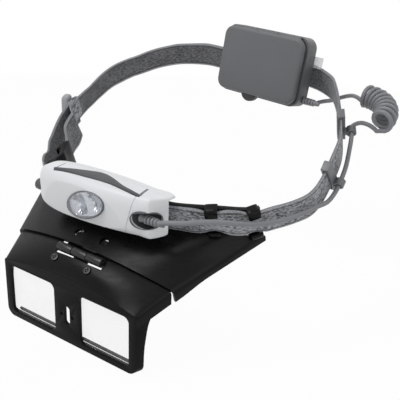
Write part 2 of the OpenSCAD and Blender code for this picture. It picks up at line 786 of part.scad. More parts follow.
module top_switch() {
    color("#4c4d50") at_lamp() {
        switch_body(0, 3, 1.1);
        translate([-12, 16.6, lamp_surface(0, 20) - 3.9]) cube([16, 8.8, 1.3]);
        translate([-3, board_front + board_thickness + 2, lamp_middle + 10.3]) cylinder(d = 2.6, h = 1.2, $fn = fine);
    }
}

side_button_at = [-lamp_half, 20, 25.5];
module side_button_hole() {
    translate(side_button_at) along_x(side_button_diameter + 2 * play, 16);
}
module side_button() {
    color("#4c4d50") at_lamp() {
        translate(side_button_at + [0.6, 0, 0]) along_x(side_button_diameter, 9);
        translate([-lamp_half + 5, side_button_at.y - 0.5, side_button_at.z - 3.4]) cube([1.4, 5, 7.4]);
    }
}

module lamp_relief() {
    color("#84878b") at_lamp() translate([0, socket_at.y + 0.4, socket_at.z]) {
        translate([socket_at.x + 2.5, 0, 0]) along_x(relief_diameter - 1.6, relief_length);
        for (i = [0:4]) translate([socket_at.x - 3 + i * 2.6, 0, 0]) along_x(relief_diameter - 0.2, 1.4);
    }
}

// Webbing
strap_join = 5.5;
tail_bulge = 9;
module strap_front() {
    color("#7b7e83") in_band() ribbon(buckle_place - route_count, strap_join, -strap_thickness / 2, strap_thickness / 2,
        -strap_width / 2, strap_width / 2, 84);
}
module strap_rear() {
    color("#7b7e83") in_band() ribbon(strap_join, buckle_place, -strap_thickness / 2, strap_thickness / 2,
        -strap_width / 2, strap_width / 2, 84);
}
module strap_tail() {
    color("#7b7e83") in_band() loft([for (s = spread(buckle_place, tail_end, 22))
        let (
            f = (s - buckle_place) / (tail_end - buckle_place),
            free = max(0, (f - 0.09) / 0.91),
            away = strap_thickness / 2 + 0.2 + 0.6 * free + tail_bulge * pow(sin(180 * pow(free, 0.9)), 1.3),
            twist = 0.3 * tail_bulge * pow(sin(180 * free), 2),
            fall = -2 * free
        )
        [
            strap_point(s, -away - strap_thickness - twist, fall - strap_width / 2),
            strap_point(s, -away - strap_thickness + twist, fall + strap_width / 2),
            strap_point(s, -away + twist, fall + strap_width / 2),
            strap_point(s, -away - twist, fall - strap_width / 2)
        ]
    ]);
}

module buckle() {
    out = strap_thickness / 2 + 0.3;
    inner = out + strap_thickness + 0.4;
    color("#a2a5a9") in_band() on_strap(buckle_place) difference() {
        union() {
            translate([-buckle_length / 2, -out - buckle_wall, -strap_width / 2 - 1.8])
                cube([buckle_length, out + inner + 2 * buckle_wall, strap_width + 3.6]);
            translate([0, -out - buckle_wall * 0.7, -strap_width / 2 - 1.8]) cylinder(d = buckle_wall * 2.4, h = strap_width + 3.6, $fn = fine);
        }
        translate([-buckle_length, -out, -strap_width / 2 - 0.7]) cube([2 * buckle_length, out + inner, strap_width + 1.4]);
    }
}

// A loop round the strap with a ring for the cord outside it
module strap_clip(length, ring_x, ring_y, ring_z) {
    ring_length = length - 2;
    out = strap_thickness / 2 + 0.3;
    difference() {
        union() {
            translate([-length / 2, -out - 1.6, -strap_width / 2 - 1.8]) cube([length, 2 * out + 3.2, strap_width + 3.6]);
            translate([ring_x - ring_length / 2, ring_y, ring_z - 1.2]) cube([ring_length, -out - ring_y - 0.4, 2.4]);
            translate([ring_x, ring_y, ring_z]) along_x(cord_diameter + 3.6, ring_length);
        }
        translate([-2 * length, -out, -strap_width / 2 - 0.3]) cube([4 * length, 2 * out, strap_width + 0.6]);
        translate([ring_x, ring_y, ring_z]) along_x(cord_diameter + 1.2, length + 8);
    }
}
module cord_clip_front() {
    color("#707378") in_band() along_strap(clip_front_place) strap_clip(7, 0, -5.4, -7);
}
module cord_clip_rear() {
    color("#707378") in_band() along_strap(clip_rear_place) strap_clip(7, -4, -6.45, -2.6);
}

// Battery box, in its own frame: the lid's face at y = 0 and the back at y = box_depth
module battery_case() {
    deep = box_depth - lid_depth;
    color("#606266") at_box() difference() {
        union() {
            difference() {
                upright_plate(box_width, box_height, box_corner, lid_depth, deep);
                upright_plate(box_width - 2 * box_wall, box_height - 2 * box_wall, box_corner - box_wall, lid_depth - 1, deep - box_wall + 1);
            }
            translate([cell_x + cell_length / 2 + contact_gap + 1, lid_depth + 0.5, -box_height / 2 + 1])
                cube([1.6, deep - 1, box_height - 2]);
            for (side = [-1, 1]) translate([side * 20, lid_hinge_y, lid_hinge_z]) along_x(lid_knuckle, 20);
        }
        translate([0, lid_hinge_y, lid_hinge_z]) along_x(lid_knuckle + 2 * play, 20);
        translate([0, lid_hinge_y, lid_hinge_z]) along_x(lid_pin_diameter, 62);
        translate([-latch_width / 2 - play - 8, lid_depth - 1, -box_height / 2 - 1]) cube([latch_width + 2 * play, 5.2 + play, box_wall + 2]);
        at_bracket_screws() translate([0, -3, 0]) along_y(2.2, 12);
        translate(box_relief_at - [8, 0, 0]) rotate([0, 90, 0]) cylinder(d = box_relief_diameter - 1.4, h = 20, $fn = fine);
    }
}

module at_bracket_screws() {
    for (side = [-1, 1]) translate([side * 22, box_depth, -9]) children();
}

module battery_lid() {
    back = lid_depth - 0.15;
    color("#626468") at_box() difference() {
        union() {
            difference() {
                union() {
                    lid_tier(lid_inset + lid_bevel, 0, 2);
                    lid_tier(lid_inset + lid_bevel * 0.45, 0.5, 2);
                    lid_tier(lid_inset, 1.4, lid_depth - 2.4);
                    lid_tier(lid_inset + 0.8, 2, back - 2);
                }
                upright_plate(box_width - 2 * lid_inset - 2 * box_wall, box_height - 2 * lid_inset - 2 * box_wall, box_corner - box_wall, 2, lid_depth);
                translate([-60, 2.6, lid_hinge_z + 0.2]) cube([120, 10, 6]);
                translate([0, lid_hinge_y, lid_hinge_z]) along_x(lid_knuckle + 2 * play, box_width + 4);
            }
            translate([0, lid_hinge_y, lid_hinge_z]) along_x(lid_knuckle, 20 - 2 * play);
            translate([-10 + play, 1.6, lid_hinge_z - lid_knuckle / 2]) cube([20 - 2 * play, lid_depth - 1.6, 1.5]);
        }
        translate([0, lid_hinge_y, lid_hinge_z]) along_x(lid_pin_diameter + 2 * pin_play, 62);
    }
}
module lid_tier(inset, y, depth) {
    upright_plate(box_width - 2 * inset, box_height - 2 * inset, box_corner - inset * 0.6, y, depth);
}

module lid_pin() {
    color("#8d8f92") at_box() translate([0, lid_hinge_y, lid_hinge_z]) along_x(lid_pin_diameter, 60);
}

module lid_latch() {
    color("#4a4b4e") at_box() translate([-8, 0, -box_height / 2]) difference() {
        union() {
            translate([0, lid_depth + 4.2, latch_width / 2 - latch_drop]) rotate([90, 0, 0]) intersection() {
                cylinder(d = latch_width, h = 4, $fn = fine);
                translate([-20, -20, -1]) cube([40, 20 - latch_width / 2 + latch_drop + 0.6, 10]);
            }
            translate([-5, lid_depth + 0.6, -1]) cube([10, 2.6, 6.4]);
        }
        translate([-20, -5, 5.2]) cube([40, 20, 10]);
    }
}

module battery_cells() {
    color("#9a9da0") at_box() for (i = [-1:1]) {
        turn = i == 0 ? -1 : 1;
        translate([cell_x, cell_y, i * cell_pitch]) {
            translate([-turn * 0.5, 0, 0]) along_x(cell_diameter, cell_length - 1);
            along_x(3.8, cell_length);
        }
    }
}

module battery_contacts() {
    color("#c2b280") at_box() for (i = [-1:1], side = [-1, 1]) {
        turn = (i == 0 ? -1 : 1) * side;
        reach = cell_length / 2 + (turn > 0 ? 0.6 : contact_gap - 0.4);
        translate([cell_x + side * reach, cell_y, i * cell_pitch]) along_x(8, 0.8);
        if (turn < 0) translate([cell_x + side * (cell_length / 2 + contact_gap / 2 - 0.4), cell_y, i * cell_pitch])
            rotate([0, side * 90, 0]) cylinder(d1 = 4.6, d2 = 7.2, h = contact_gap - 0.8, center = true, $fn = fine);
    }
}

module driver_board() {
    color("#23503a") at_box() {
        translate([22.3, 11.6, -14]) cube([11, 1.4, 30]);
        translate([23.5, 8, 2]) cube([7, 3.6, 8]);
        for (z = [-6, 10]) translate([26, 13, z]) along_y(3, box_depth - box_wall - 13);
    }
}

// The clear bracket that carries the box on the webbing
bracket_from = 9.15;
bracket_to = 9.62;
bracket_width = 60;
module strap_bracket() {
    out = strap_thickness / 2;
    color("#aeb4b8") difference() {
        union() {
            at_box() translate([-bracket_width / 2, box_depth, -13]) cube([bracket_width, 2, 26]);
            at_box() translate([bracket_width / 2 - 2, box_depth, 5]) cube([box_width / 2 - bracket_width / 2 + 8, 2, 8]);
            in_band() ribbon(bracket_from, bracket_to, -out - 2, out + 2, -strap_width / 2 - 2, strap_width / 2 + 2, 12);
            in_band() translate([2, strap_centre(box_place).y - 13, -strap_width / 2 - 2]) cube([22, 12.4, strap_width + 4]);
        }
        in_band() ribbon(bracket_from - 0.45, bracket_to + 0.45, -out - 0.15, out + 0.15, -strap_width / 2 - 0.2, strap_width / 2 + 0.2, 40);
        at_box() translate([-box_width, -40, -box_width]) cube([2 * box_width, 40 + box_depth, 2 * box_width]);
        at_box() at_bracket_screws() translate([0, -1, 0]) along_y(2.4, 10);
    }
}

module bracket_screws() {
    color("#8d8f92") at_box() at_bracket_screws() {
        translate([0, -2.1, 0]) along_y(2.2, 4.3);
        translate([0, 2, 0]) along_y(4, 1.2);
    }
}

module box_relief() {
    color("#84878b") at_box() translate(box_relief_at) {
        translate([3, 0, 0]) along_x(box_relief_diameter - 1.4, 14);
        for (i = [0:3]) translate([1.4 + i * 2.4, 0, 0]) along_x(box_relief_diameter, 1.3);
    }
}

// Cord
module cord_front() {
    color("#84878b") in_band() tube(smooth_route(cord_front_route, 2), cord_diameter, cord_sides);
}
module cord_coil() {
    color("#84878b") in_band() translate(coil_centre) rotate([0, 0, 90 - coil_angle]) difference() {
        rotate_extrude(angle = coil_angle, $fn = 96) translate([coil_bend, 0]) circle(d = coil_diameter, $fn = 32);
    }
}
module cord_rear() {
    color("#84878b") in_band() tube(smooth_route(cord_rear_route, 2), cord_diameter, cord_sides);
}

visor_plate();
brow_band();
hinge_leaf_upper();
hinge_screws_upper();
lens_hood();
lens_frame();
lens_left();
lens_right();
lens_retainer();
retainer_screws();
hinge_leaf_lower();
hinge_screws_lower();
hinge_pin();
lamp_front();
lamp_back();
lamp_end_cap();
lamp_bezel();
lamp_window();
lamp_reflector();
lamp_leds();
lamp_board();
lamp_screws();
top_switch();
side_button();
lamp_relief();
strap_front();
strap_rear();
strap_tail();
buckle();
cord_clip_front();
cord_clip_rear();
battery_case();
battery_lid();
lid_pin();
lid_latch();
battery_cells();
battery_contacts();
driver_board();
strap_bracket();
bracket_screws();
box_relief();
cord_front();
cord_coil();
cord_rear();
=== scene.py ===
import json
import math

import bmesh
import bpy
from mathutils import Matrix, Vector


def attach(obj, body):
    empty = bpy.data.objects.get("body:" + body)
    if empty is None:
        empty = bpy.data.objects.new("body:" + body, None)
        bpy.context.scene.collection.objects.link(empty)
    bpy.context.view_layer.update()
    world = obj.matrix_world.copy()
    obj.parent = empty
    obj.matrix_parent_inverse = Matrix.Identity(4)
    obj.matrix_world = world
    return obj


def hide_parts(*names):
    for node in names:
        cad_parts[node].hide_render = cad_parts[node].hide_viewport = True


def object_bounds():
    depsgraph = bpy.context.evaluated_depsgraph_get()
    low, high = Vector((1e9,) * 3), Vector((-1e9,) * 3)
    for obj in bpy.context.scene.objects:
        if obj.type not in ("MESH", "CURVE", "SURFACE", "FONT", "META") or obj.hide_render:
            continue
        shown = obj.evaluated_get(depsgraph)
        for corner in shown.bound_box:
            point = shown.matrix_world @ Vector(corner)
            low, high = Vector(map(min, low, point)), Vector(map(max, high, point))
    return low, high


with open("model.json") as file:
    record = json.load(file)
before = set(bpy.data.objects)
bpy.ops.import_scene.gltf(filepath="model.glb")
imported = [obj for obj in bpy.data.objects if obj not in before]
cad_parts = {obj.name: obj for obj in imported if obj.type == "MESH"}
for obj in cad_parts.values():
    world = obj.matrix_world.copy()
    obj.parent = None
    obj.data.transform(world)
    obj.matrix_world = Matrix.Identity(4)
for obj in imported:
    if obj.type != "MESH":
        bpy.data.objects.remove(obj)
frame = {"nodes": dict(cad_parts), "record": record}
cad_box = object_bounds()
nodes = frame["nodes"]
MM = 0.001

# ---------------------------------------------------------------- camera
AZIMUTH, ELEVATION, ROLL = math.radians(34.16), math.radians(23.55), math.radians(2.58)
CAMERA_AT = (0.27231, -0.38926, 0.14941)
LENS_LENGTH, SENSOR_WIDTH = 63, 36


def place_camera():
    back = Vector((math.sin(AZIMUTH) * math.cos(ELEVATION), -math.cos(AZIMUTH) * math.cos(ELEVATION), math.sin(ELEVATION)))
    level = Vector((math.cos(AZIMUTH), math.sin(AZIMUTH), 0))
    upright = back.cross(level)
    side = level * math.cos(ROLL) + upright * math.sin(ROLL)
    top = upright * math.cos(ROLL) - level * math.sin(ROLL)
    data = bpy.data.cameras.new("camera")
    data.lens, data.sensor_width = LENS_LENGTH, SENSOR_WIDTH
    camera = bpy.data.objects.new("camera", data)
    bpy.context.scene.collection.objects.link(camera)
    camera.matrix_world = Matrix(((side.x, top.x, back.x, CAMERA_AT[0]), (side.y, top.y, back.y, CAMERA_AT[1]),
                                  (side.z, top.z, back.z, CAMERA_AT[2]), (0, 0, 0, 1)))
    bpy.context.scene.camera = camera


place_camera()

# ---------------------------------------------------------------- places on the headband, in millimetres
BAND_TILT = math.radians(19.5)
HINGE = Vector((0, -118.038, -54.043))
ROUTE = [(0, -90, -1), (38, -88, -1), (71, -77, -2), (90, -57, -11), (106, -28, -15), (107.5, 2, -5), (100, 28, -3),
         (83, 57, 5), (65, 79, 1), (38, 86, 2), (-25, 90.5, -1), (-54, 91, -1), (-78, 77, 2), (-95, 58, 1),
         (-107.5, 38, 0), (-111.5, 7, -6), (-107, -25, -9.5), (-91.5, -56, -11.5), (-72, -80, -9), (-38, -90, -4)]
KEEPERS = (1.9, 2.76)
BUCKLE, TAIL_END, BROW_END, STRAP_JOIN = 15.5, 17.0, 2.95, 5.5
BOX_AT = Vector((14, 67.772, 14.5))
BOX_TURN = (Matrix.Rotation(math.radians(-8), 3, "Z") @ Matrix.Rotation(math.radians(-29), 3, "X")
            @ Matrix.Rotation(math.radians(-2), 3, "Y"))
BAND_TURN = Matrix.Rotation(BAND_TILT, 3, "X")


def band(p):
    """A point of the headband's plane as a point of the scene."""
    return BAND_TURN @ Vector(p) * MM


def visor(p):
    """A point measured from the hinge line as a point of the scene."""
    return (HINGE + Vector(p)) * MM


def in_box(p):
    """A point of the battery box, measured from its face, as a point of the headband's plane."""
    return BOX_AT + BOX_TURN @ Vector(p)


def box(p):
    return band(in_box(p))


def cubic(a, b, c, d, t):
    return 0.5 * (2 * b + (c - a) * t + (2 * a - 5 * b + 4 * c - d) * t * t + (3 * b - a - 3 * c + d) * t ** 3)


def smooth(points, cuts):
    """The smooth line through the points, with cuts steps from each to the next."""
    points = [Vector(p) for p in points]
    last = len(points) - 1
    line = [cubic(points[max(i - 1, 0)], points[i], points[i + 1], points[min(i + 2, last)], k / cuts)
            for i in range(last) for k in range(cuts)]
    return line + [points[last]]


def length_of(points):
    return sum((b - a).length for a, b in zip(points, points[1:]))


def strap_centre(s):
    i = math.floor(s)
    a, b, c, d = (Vector(ROUTE[(i + k) % len(ROUTE)]) for k in (-1, 0, 1, 2))
    return cubic(a, b, c, d, s - i)


def strap_along(s):
    d = strap_centre(s + 0.02) - strap_centre(s - 0.02)
    return Vector((d.x, d.y, 0)).normalized()


def strap_point(s, off, rise):
    t = strap_along(s)
    return strap_centre(s) + off * Vector((t.y, -t.x, 0)) + Vector((0, 0, rise))


def blend(a, b, t):
    return a + (b - a) * t


def ease(value, low, high):
    t = max(0.0, min(1.0, (value - low) / (high - low)))
    return t * t * (3 - 2 * t)


# ---------------------------------------------------------------- finishes
class Wire:
    """A socket that can be used in sums. Each sum adds the Math node that it needs."""

    def __init__(self, finish, socket):
        self.finish, self.socket = finish, socket

    def math(self, operation, *values):
        return self.finish.add("ShaderNodeMath", {"operation": operation}, dict(enumerate(values)))

    def __add__(self, other): return self.math("ADD", self, other)
    def __sub__(self, other): return self.math("SUBTRACT", self, other)
    def __rsub__(self, other): return self.math("SUBTRACT", other, self)
    def __mul__(self, other): return self.math("MULTIPLY", self, other)
    def over(self, limit): return self.math("GREATER_THAN", self, limit)
    def wave(self): return self.math("SINE", self)
    def size(self): return self.math("ABSOLUTE", self)
    def part(self): return self.math("FRACT", self)
    def most(self, other): return self.math("MAXIMUM", self, other)


class Finish:
    """One material, made of nodes that add() puts in."""

    def __init__(self, name):
        self.material = bpy.data.materials.new(name)
        self.material.use_nodes = True
        self.tree = self.material.node_tree
        self.tree.nodes.clear()

    def add(self, kind, settings=None, sockets=None, out=0):
        node = self.tree.nodes.new(kind)
        for name, value in (settings or {}).items():
            setattr(node, name, value)
        for name, value in (sockets or {}).items():
            if isinstance(value, Wire):
                self.tree.links.new(value.socket, node.inputs[name])
            else:
                node.inputs[name].default_value = value
        return Wire(self, node.outputs[out])

    def place(self, stretch=(1, 1, 1)):
        at = self.add("ShaderNodeTexCoord", out=3)
        return self.add("ShaderNodeMapping", {}, {"Vector": at, "Scale": stretch})

    def noise(self, scale, detail=3, at=None, stretch=(1, 1, 1)):
        return self.add("ShaderNodeTexNoise", {}, {"Vector": at or self.place(stretch), "Scale": scale, "Detail": detail})

    def fade(self, value, low, high, start=0.0, end=1.0):
        return self.add("ShaderNodeMapRange", {}, {"Value": value, 1: low, 2: high, 3: start, 4: end})

    def mix(self, share, first, second):
        return self.add("ShaderNodeMix", {"data_type": "RGBA"}, {0: share, 6: first, 7: second}, out=2)

    def bump(self, height, distance):
        return self.add("ShaderNodeBump", {}, {"Height": height, "Distance": distance, "Strength": 1.0})

    def end(self, **sockets):
        named = {name.replace("_", " "): value for name, value in sockets.items()}
        shader = self.add("ShaderNodeBsdfPrincipled", {}, named)
        self.join(shader)
        return self.material

    def join(self, shader):
        out = self.tree.nodes.new("ShaderNodeOutputMaterial")
        self.tree.links.new(shader.socket, out.inputs["Surface"])


def grey(level, tint=(1, 1, 1)):
    return (level * tint[0], level * tint[1], level * tint[2], 1)


COOL = (0.96, 0.99, 1.05)


def moulded(name, level, spread, roughness, grain=1800, depth=0.00002, tint=COOL, shine=0.5, wear=0.07):
    """Moulded plastic: faint clouds of tone, a fine spark-eroded grain, and handling marks that change the gloss."""
    f = Finish(name)
    clouds = f.noise(28, 4)
    fine = f.noise(grain, 2)
    marks = f.noise(130, 5, stretch=(1, 1, 3.5))
    dark, light = grey(level * (1 - spread), tint), grey(level * (1 + spread), tint)
    tone = f.mix(f.fade(clouds * 0.6 + fine * 0.4, 0.32, 0.68), dark, light)
    gloss = f.fade(marks, 0.35, 0.7, roughness - wear * 0.7, roughness + wear)
    return f.end(Base_Color=tone, Roughness=gloss, Normal=f.bump(fine, depth), Specular_IOR_Level=shine)


def metal(name, level, roughness, stretch=(1, 14, 14), tint=(1, 1, 1), metallic=1.0):
    """Drawn or turned metal with fine streaks."""
    f = Finish(name)
    streaks = f.noise(240, 3, stretch=stretch)
    clouds = f.noise(45, 3)
    tone = f.mix(f.fade(streaks * 0.5 + clouds * 0.5, 0.3, 0.7), grey(level * 0.86, tint), grey(level * 1.08, tint))
    gloss = f.fade(streaks, 0.3, 0.75, roughness - 0.05, roughness + 0.08)
    return f.end(Base_Color=tone, Metallic=metallic, Roughness=gloss, Normal=f.bump(streaks, 0.00001))


def clear(name, level, tint, see_through, roughness=0.05):
    """Thin clear plastic or glass, with a slight haze that its alpha carries."""
    f = Finish(name)
    haze = f.noise(60, 4)
    tone = f.mix(haze, grey(level * 0.95, tint), grey(level, tint))
    return f.end(Base_Color=tone, Roughness=f.fade(haze, 0.3, 0.7, roughness, roughness + 0.06), IOR=1.49,
                 Alpha=f.fade(haze, 0.2, 0.8, see_through - 0.03, see_through + 0.03), Specular_IOR_Level=0.6)


RIB_PITCH, THREAD_PITCH, STITCH_PITCH = 0.85, 0.9, 2.1


def woven(name):
    """Elastic webbing of mixed grey yarn: ribs, cross threads, and stitched edges, with painted shade in the grooves
    between ribs and threads and along the groove inside each edge. It follows the webbing's own length.
    """
    f = Finish(name)
    at = f.add("ShaderNodeUVMap", {"uv_map": "surface"})
    along = f.add("ShaderNodeSeparateXYZ", {}, {"Vector": at}, out=0) * 100
    seen = f.add("ShaderNodeSeparateXYZ", {}, {"Vector": at}, out=1) * 100
    inner = seen.over(50)
    across = seen - inner * 100
    yarn = f.noise(1, 2, f.add("ShaderNodeMapping", {}, {"Vector": at, "Scale": (150, 330, 1)}))
    fleck = f.noise(1, 2, f.add("ShaderNodeMapping", {}, {"Vector": at, "Scale": (42, 100, 1)}))
    clouds = f.noise(1, 3, f.add("ShaderNodeMapping", {}, {"Vector": at, "Scale": (9, 9, 1)}))
    rib = (across * (math.pi / RIB_PITCH)).wave().size()
    other_row = (across * (math.pi / RIB_PITCH)).wave().over(0)
    thread = ((along + other_row * (THREAD_PITCH / 2)) * (math.pi / THREAD_PITCH)).wave().size()
    edge = f.fade(across.size(), 8.5, 8.8)
    # Painted shade: a dark line along the groove just inside each stitched edge.
    gutter_shade = f.fade(across.size(), 7.3, 7.7) * (1 - f.fade(across.size(), 8.3, 8.7))
    stitch = ((along + across * 0.9) * (1 / STITCH_PITCH)).part().over(0.45)
    share = f.fade(yarn * 0.2 + fleck * 0.6 + clouds * 0.2, 0.42, 0.57)
    outside = f.mix(share, grey(0.06, COOL), grey(0.62, COOL))
    inside = f.mix(share, grey(0.06, COOL), grey(0.24, COOL))
    mixed = f.mix(inner, outside, inside)
    # Painted shade: the grooves between the ribs and cross threads are darkened towards near black.
    groove_shaded = f.mix(f.fade(rib * thread, 0.0, 0.6, 0.35, 0.0), mixed, grey(0.06, COOL))
    trimmed = f.mix(edge * f.fade(stitch + yarn * 0.4, 0.1, 1.2, 0.35, 0.95), groove_shaded, grey(0.5, COOL))
    # The gutter's painted shade darkens the tone almost to black.
    tone = f.mix(gutter_shade * 0.7, trimmed, grey(0.045, COOL))
    height = rib * thread * 0.6 + yarn * 0.4 + edge * stitch * 0.5
    return f.end(Base_Color=tone, Roughness=f.fade(yarn, 0.3, 0.7, 0.72, 0.9), Normal=f.bump(height, 0.00022),
                 Sheen_Weight=0.15)


finish = {
    "black_gloss": moulded("gloss_black_moulding", 0.005, 0.25, 0.3, 900, 0.000004, shine=0.12),
    "black_plastic": moulded("satin_black_moulding", 0.006, 0.2, 0.42, 1500, 0.000006, shine=0.08),
    "black_steel": metal("blackened_steel", 0.035, 0.34, metallic=0.7),
    "lens_clear": clear("lens_plastic", 0.93, (0.98, 1, 1.02), 0.1),
    "bright_steel": metal("bright_steel", 0.6, 0.24),
    "white_gloss": moulded("white_lamp_moulding", 0.85, 0.012, 0.38, 700, 0.000003, (0.975, 0.995, 1.02),
                           shine=0.35, wear=0.015),
    "lamp_grey": moulded("grey_lamp_moulding", 0.15, 0.1, 0.42),
    "chrome_trim": metal("plated_reflector", 0.62, 0.12, (1, 1, 1), (0.95, 0.98, 1.04)),
    "window_clear": clear("clear_window", 0.9, (0.93, 0.97, 1.04), 0.16),
    "led_cream": moulded("led_resin", 0.72, 0.05, 0.2, 600, 0.00001, (1.02, 0.98, 0.62)),
    "board_green": moulded("board_lacquer", 0.07, 0.3, 0.35, 500, 0.00002, (0.35, 1.5, 0.7)),
    "grey_soft": moulded("soft_grey_button", 0.075, 0.12, 0.52, 2200, 0.00003),
    "cord_grey": moulded("cord_jacket", 0.23, 0.1, 0.44, 1200, 0.00002),
    "webbing": woven("melange_webbing"),
    "pale_plastic": moulded("pale_grey_hardware", 0.4, 0.06, 0.4),
    "grey_plastic": moulded("grey_hardware", 0.165, 0.1, 0.42),
    "box_grey": moulded("battery_box_moulding", 0.135, 0.07, 0.46, 2600, 0.00004),
    "cell_metal": metal("cell_jacket", 0.5, 0.3, (14, 1, 14)),
    "contact_brass": metal("contact_brass", 0.62, 0.3, (1, 1, 1), (1.15, 0.95, 0.5)),
    "bracket_clear": clear("bracket_plastic", 0.8, (0.97, 0.99, 1.03), 0.45, 0.2),
}


def cover(piece, material):
    piece.data.materials.clear()
    piece.data.materials.append(material)
    return piece


for part in frame["record"]["subparts"]:
    cover(nodes[part["node"]], finish[part["material_slot"]])

# ---------------------------------------------------------------- lamp cord
CORD_THICKNESS = 3.0
front_run = [(50, -104, 11), (57, -102, 12), (64, -98, 11), (70, -93, 10), (77, -86, 7), (84, -77, 1),
             (91, -67, -5), (98, -55, -10), (103, -46, -12), (107, -37, -14), (110, -29, -15),
             (113, -20, -17), (113.6, -10, -16.3), (113.4, -1, -13), (111.6, 10, -10.5), (107.5, 24, -8), (105, 32.5, -4.6),
             (102.9, 37, -4), (101, 40.5, -3.6), (101.3, 45, -3.4), (104.5, 48.7, -3.5), (109.5, 49, -4),
             (114.5, 46.5, -4), (119, 42.5, -3.4)]
rear_run = [(92, 71.5, 0), (85, 77, -3), (77, 79, -7), (70, 77, -10), (63, 73, -10.5)]
COIL_CENTRE, COIL_BEND, COIL_RADIUS, COIL_TURNS, COIL_CUTS = Vector((99.5, 44.2, 6)), 22.5, 6.7, 9, 16
COIL_START, COIL_SWEEP = -8, 98


def curly_points():
    points = []
    for k in range(COIL_TURNS * COIL_CUTS + 1):
        along = math.radians(COIL_START + COIL_SWEEP * k / (COIL_TURNS * COIL_CUTS))
        round_it = math.radians(-90 + 360 / COIL_CUTS * k)
        outward = Vector((math.cos(along), math.sin(along), 0))
        points.append(COIL_CENTRE + outward * (COIL_BEND + COIL_RADIUS * math.cos(round_it))
                      + Vector((0, 0, COIL_RADIUS * math.sin(round_it))))
    return points


def make_cord():
    relief_out = in_box((47.5, 13, -19))
    path = smooth(front_run, 3)[:-1] + curly_points() + smooth(rear_run + [relief_out], 3)
    path = [band(p) for p in path]
    curve = bpy.data.curves.new("lamp_cord", "CURVE")
    curve.dimensions = "3D"
    curve.bevel_depth = CORD_THICKNESS / 2 * MM
    curve.bevel_resolution = 4
    curve.use_fill_caps = True
    line = curve.splines.new("POLY")
    line.points.add(len(path) - 1)
    for point, at in zip(line.points, path):
        point.co = (*at, 1)
    cord = bpy.data.objects.new("lamp_cord", curve)
    bpy.context.scene.collection.objects.link(cord)
    cover(cord, finish["cord_grey"])
    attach(cord, "headband")
    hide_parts("cord_front", "cord_coil", "cord_rear")
    tuple(path[0])
    length_of(path)


make_cord()

# ---------------------------------------------------------------- making pieces


def skin(columns, rows, place, lay=None, closed=False, capped=False):
    """A grid whose point (i, j) goes to place(i, j). lay gives its place on the surface for the pattern."""
    bm = bmesh.new()
    layer = bm.loops.layers.uv.new("surface")
    bmesh.ops.create_grid(bm, x_segments=columns, y_segments=rows, size=1)
    at = {v: (round((v.co.x + 1) / 2 * columns), round((v.co.y + 1) / 2 * rows)) for v in bm.verts}
    for v, (i, j) in at.items():
        v.co = place(i, j)
    if lay:
        for face in bm.faces:
            for loop in face.loops:
                loop[layer].uv = lay(*at[loop.vert])
    if closed or capped:
        bmesh.ops.remove_doubles(bm, verts=bm.verts, dist=1e-6)
    if capped:
        bmesh.ops.holes_fill(bm, edges=[e for e in bm.edges if e.is_boundary], sides=0)
    bmesh.ops.recalc_face_normals(bm, faces=bm.faces)
    return bm


def lathe(profile, middle, axis, steps=40):
    """Turns a profile of (along, radius) pairs about an axis through middle. It gives a closed round piece."""
    bm = bmesh.new()
    points = [bm.verts.new((r, 0, a)) for a, r in profile]
    edges = [bm.edges.new(pair) for pair in zip(points, points[1:])]
    bmesh.ops.spin(bm, geom=points + edges, cent=(0, 0, 0), axis=(0, 0, 1), angle=2 * math.pi, steps=steps,
                   use_merge=True)
    bmesh.ops.remove_doubles(bm, verts=bm.verts, dist=1e-5)
    bmesh.ops.recalc_face_normals(bm, faces=bm.faces)
    turned = Vector((0, 0, 1)).rotation_difference(Vector(axis)).to_matrix()
    for v in bm.verts:
        v.co = turned @ v.co + Vector(middle)
    return bm


def placed(bm, where):
    """Takes a form in millimetres to its place in the scene."""
    for v in bm.verts:
        v.co = where(v.co)
    return bm


def block(size, middle):
    bm = bmesh.new()
    bmesh.ops.create_cube(bm, size=1)
    for v in bm.verts:
        v.co = Vector(middle) + Vector((v.co.x * size[0], v.co.y * size[1], v.co.z * size[2]))
    return bm


def make(bm, name, material, body="headband", stands_for=(), wall=0.0, edge=0.0, cuts=(), steps=2, sharp=0, turn=38):
    """Makes the piece: its wall, then what is cut out of it, then its rounded edges."""
    mesh = bpy.data.meshes.new(name)
    bm.to_mesh(mesh)
    bm.free()
    piece = bpy.data.objects.new(name, mesh)
    bpy.context.scene.collection.objects.link(piece)
    bpy.context.view_layer.objects.active = piece
    if wall:
        shell = piece.modifiers.new("wall", "SOLIDIFY")
        shell.thickness, shell.offset = wall * MM, -1
        bpy.ops.object.modifier_apply(modifier="wall")
    for cutter in cuts:
        tool_mesh = bpy.data.meshes.new("cutter")
        cutter.to_mesh(tool_mesh)
        cutter.free()
        tool = bpy.data.objects.new("cutter", tool_mesh)
        bpy.context.scene.collection.objects.link(tool)
        opening = piece.modifiers.new("opening", "BOOLEAN")
        opening.operation, opening.solver, opening.object = "DIFFERENCE", "EXACT", tool
        bpy.ops.object.modifier_apply(modifier="opening")
        bpy.data.objects.remove(tool)
        bpy.data.meshes.remove(tool_mesh)
    for face in mesh.polygons:
        face.use_smooth = True
    if sharp:
        mesh.set_sharp_from_angle(angle=math.radians(sharp))
    if edge:
        rounding = piece.modifiers.new("rounding", "BEVEL")
        rounding.width, rounding.segments, rounding.limit_method = edge * MM, steps, "ANGLE"
        rounding.angle_limit, rounding.harden_normals, rounding.use_clamp_overlap = math.radians(turn), True, True
    cover(piece, finish[material])
    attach(piece, body)
    if stands_for:
        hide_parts(*stands_for)
    {"pale_plastic": "grey_plastic"}.get(material, material)
    return piece


def body_of(node):
    return next(name for name, parts in frame["record"]["behaviour"]["bodies"].items() if node in parts)


def slot_of(node):
    return next(part["material_slot"] for part in frame["record"]["subparts"] if part["node"] == node)


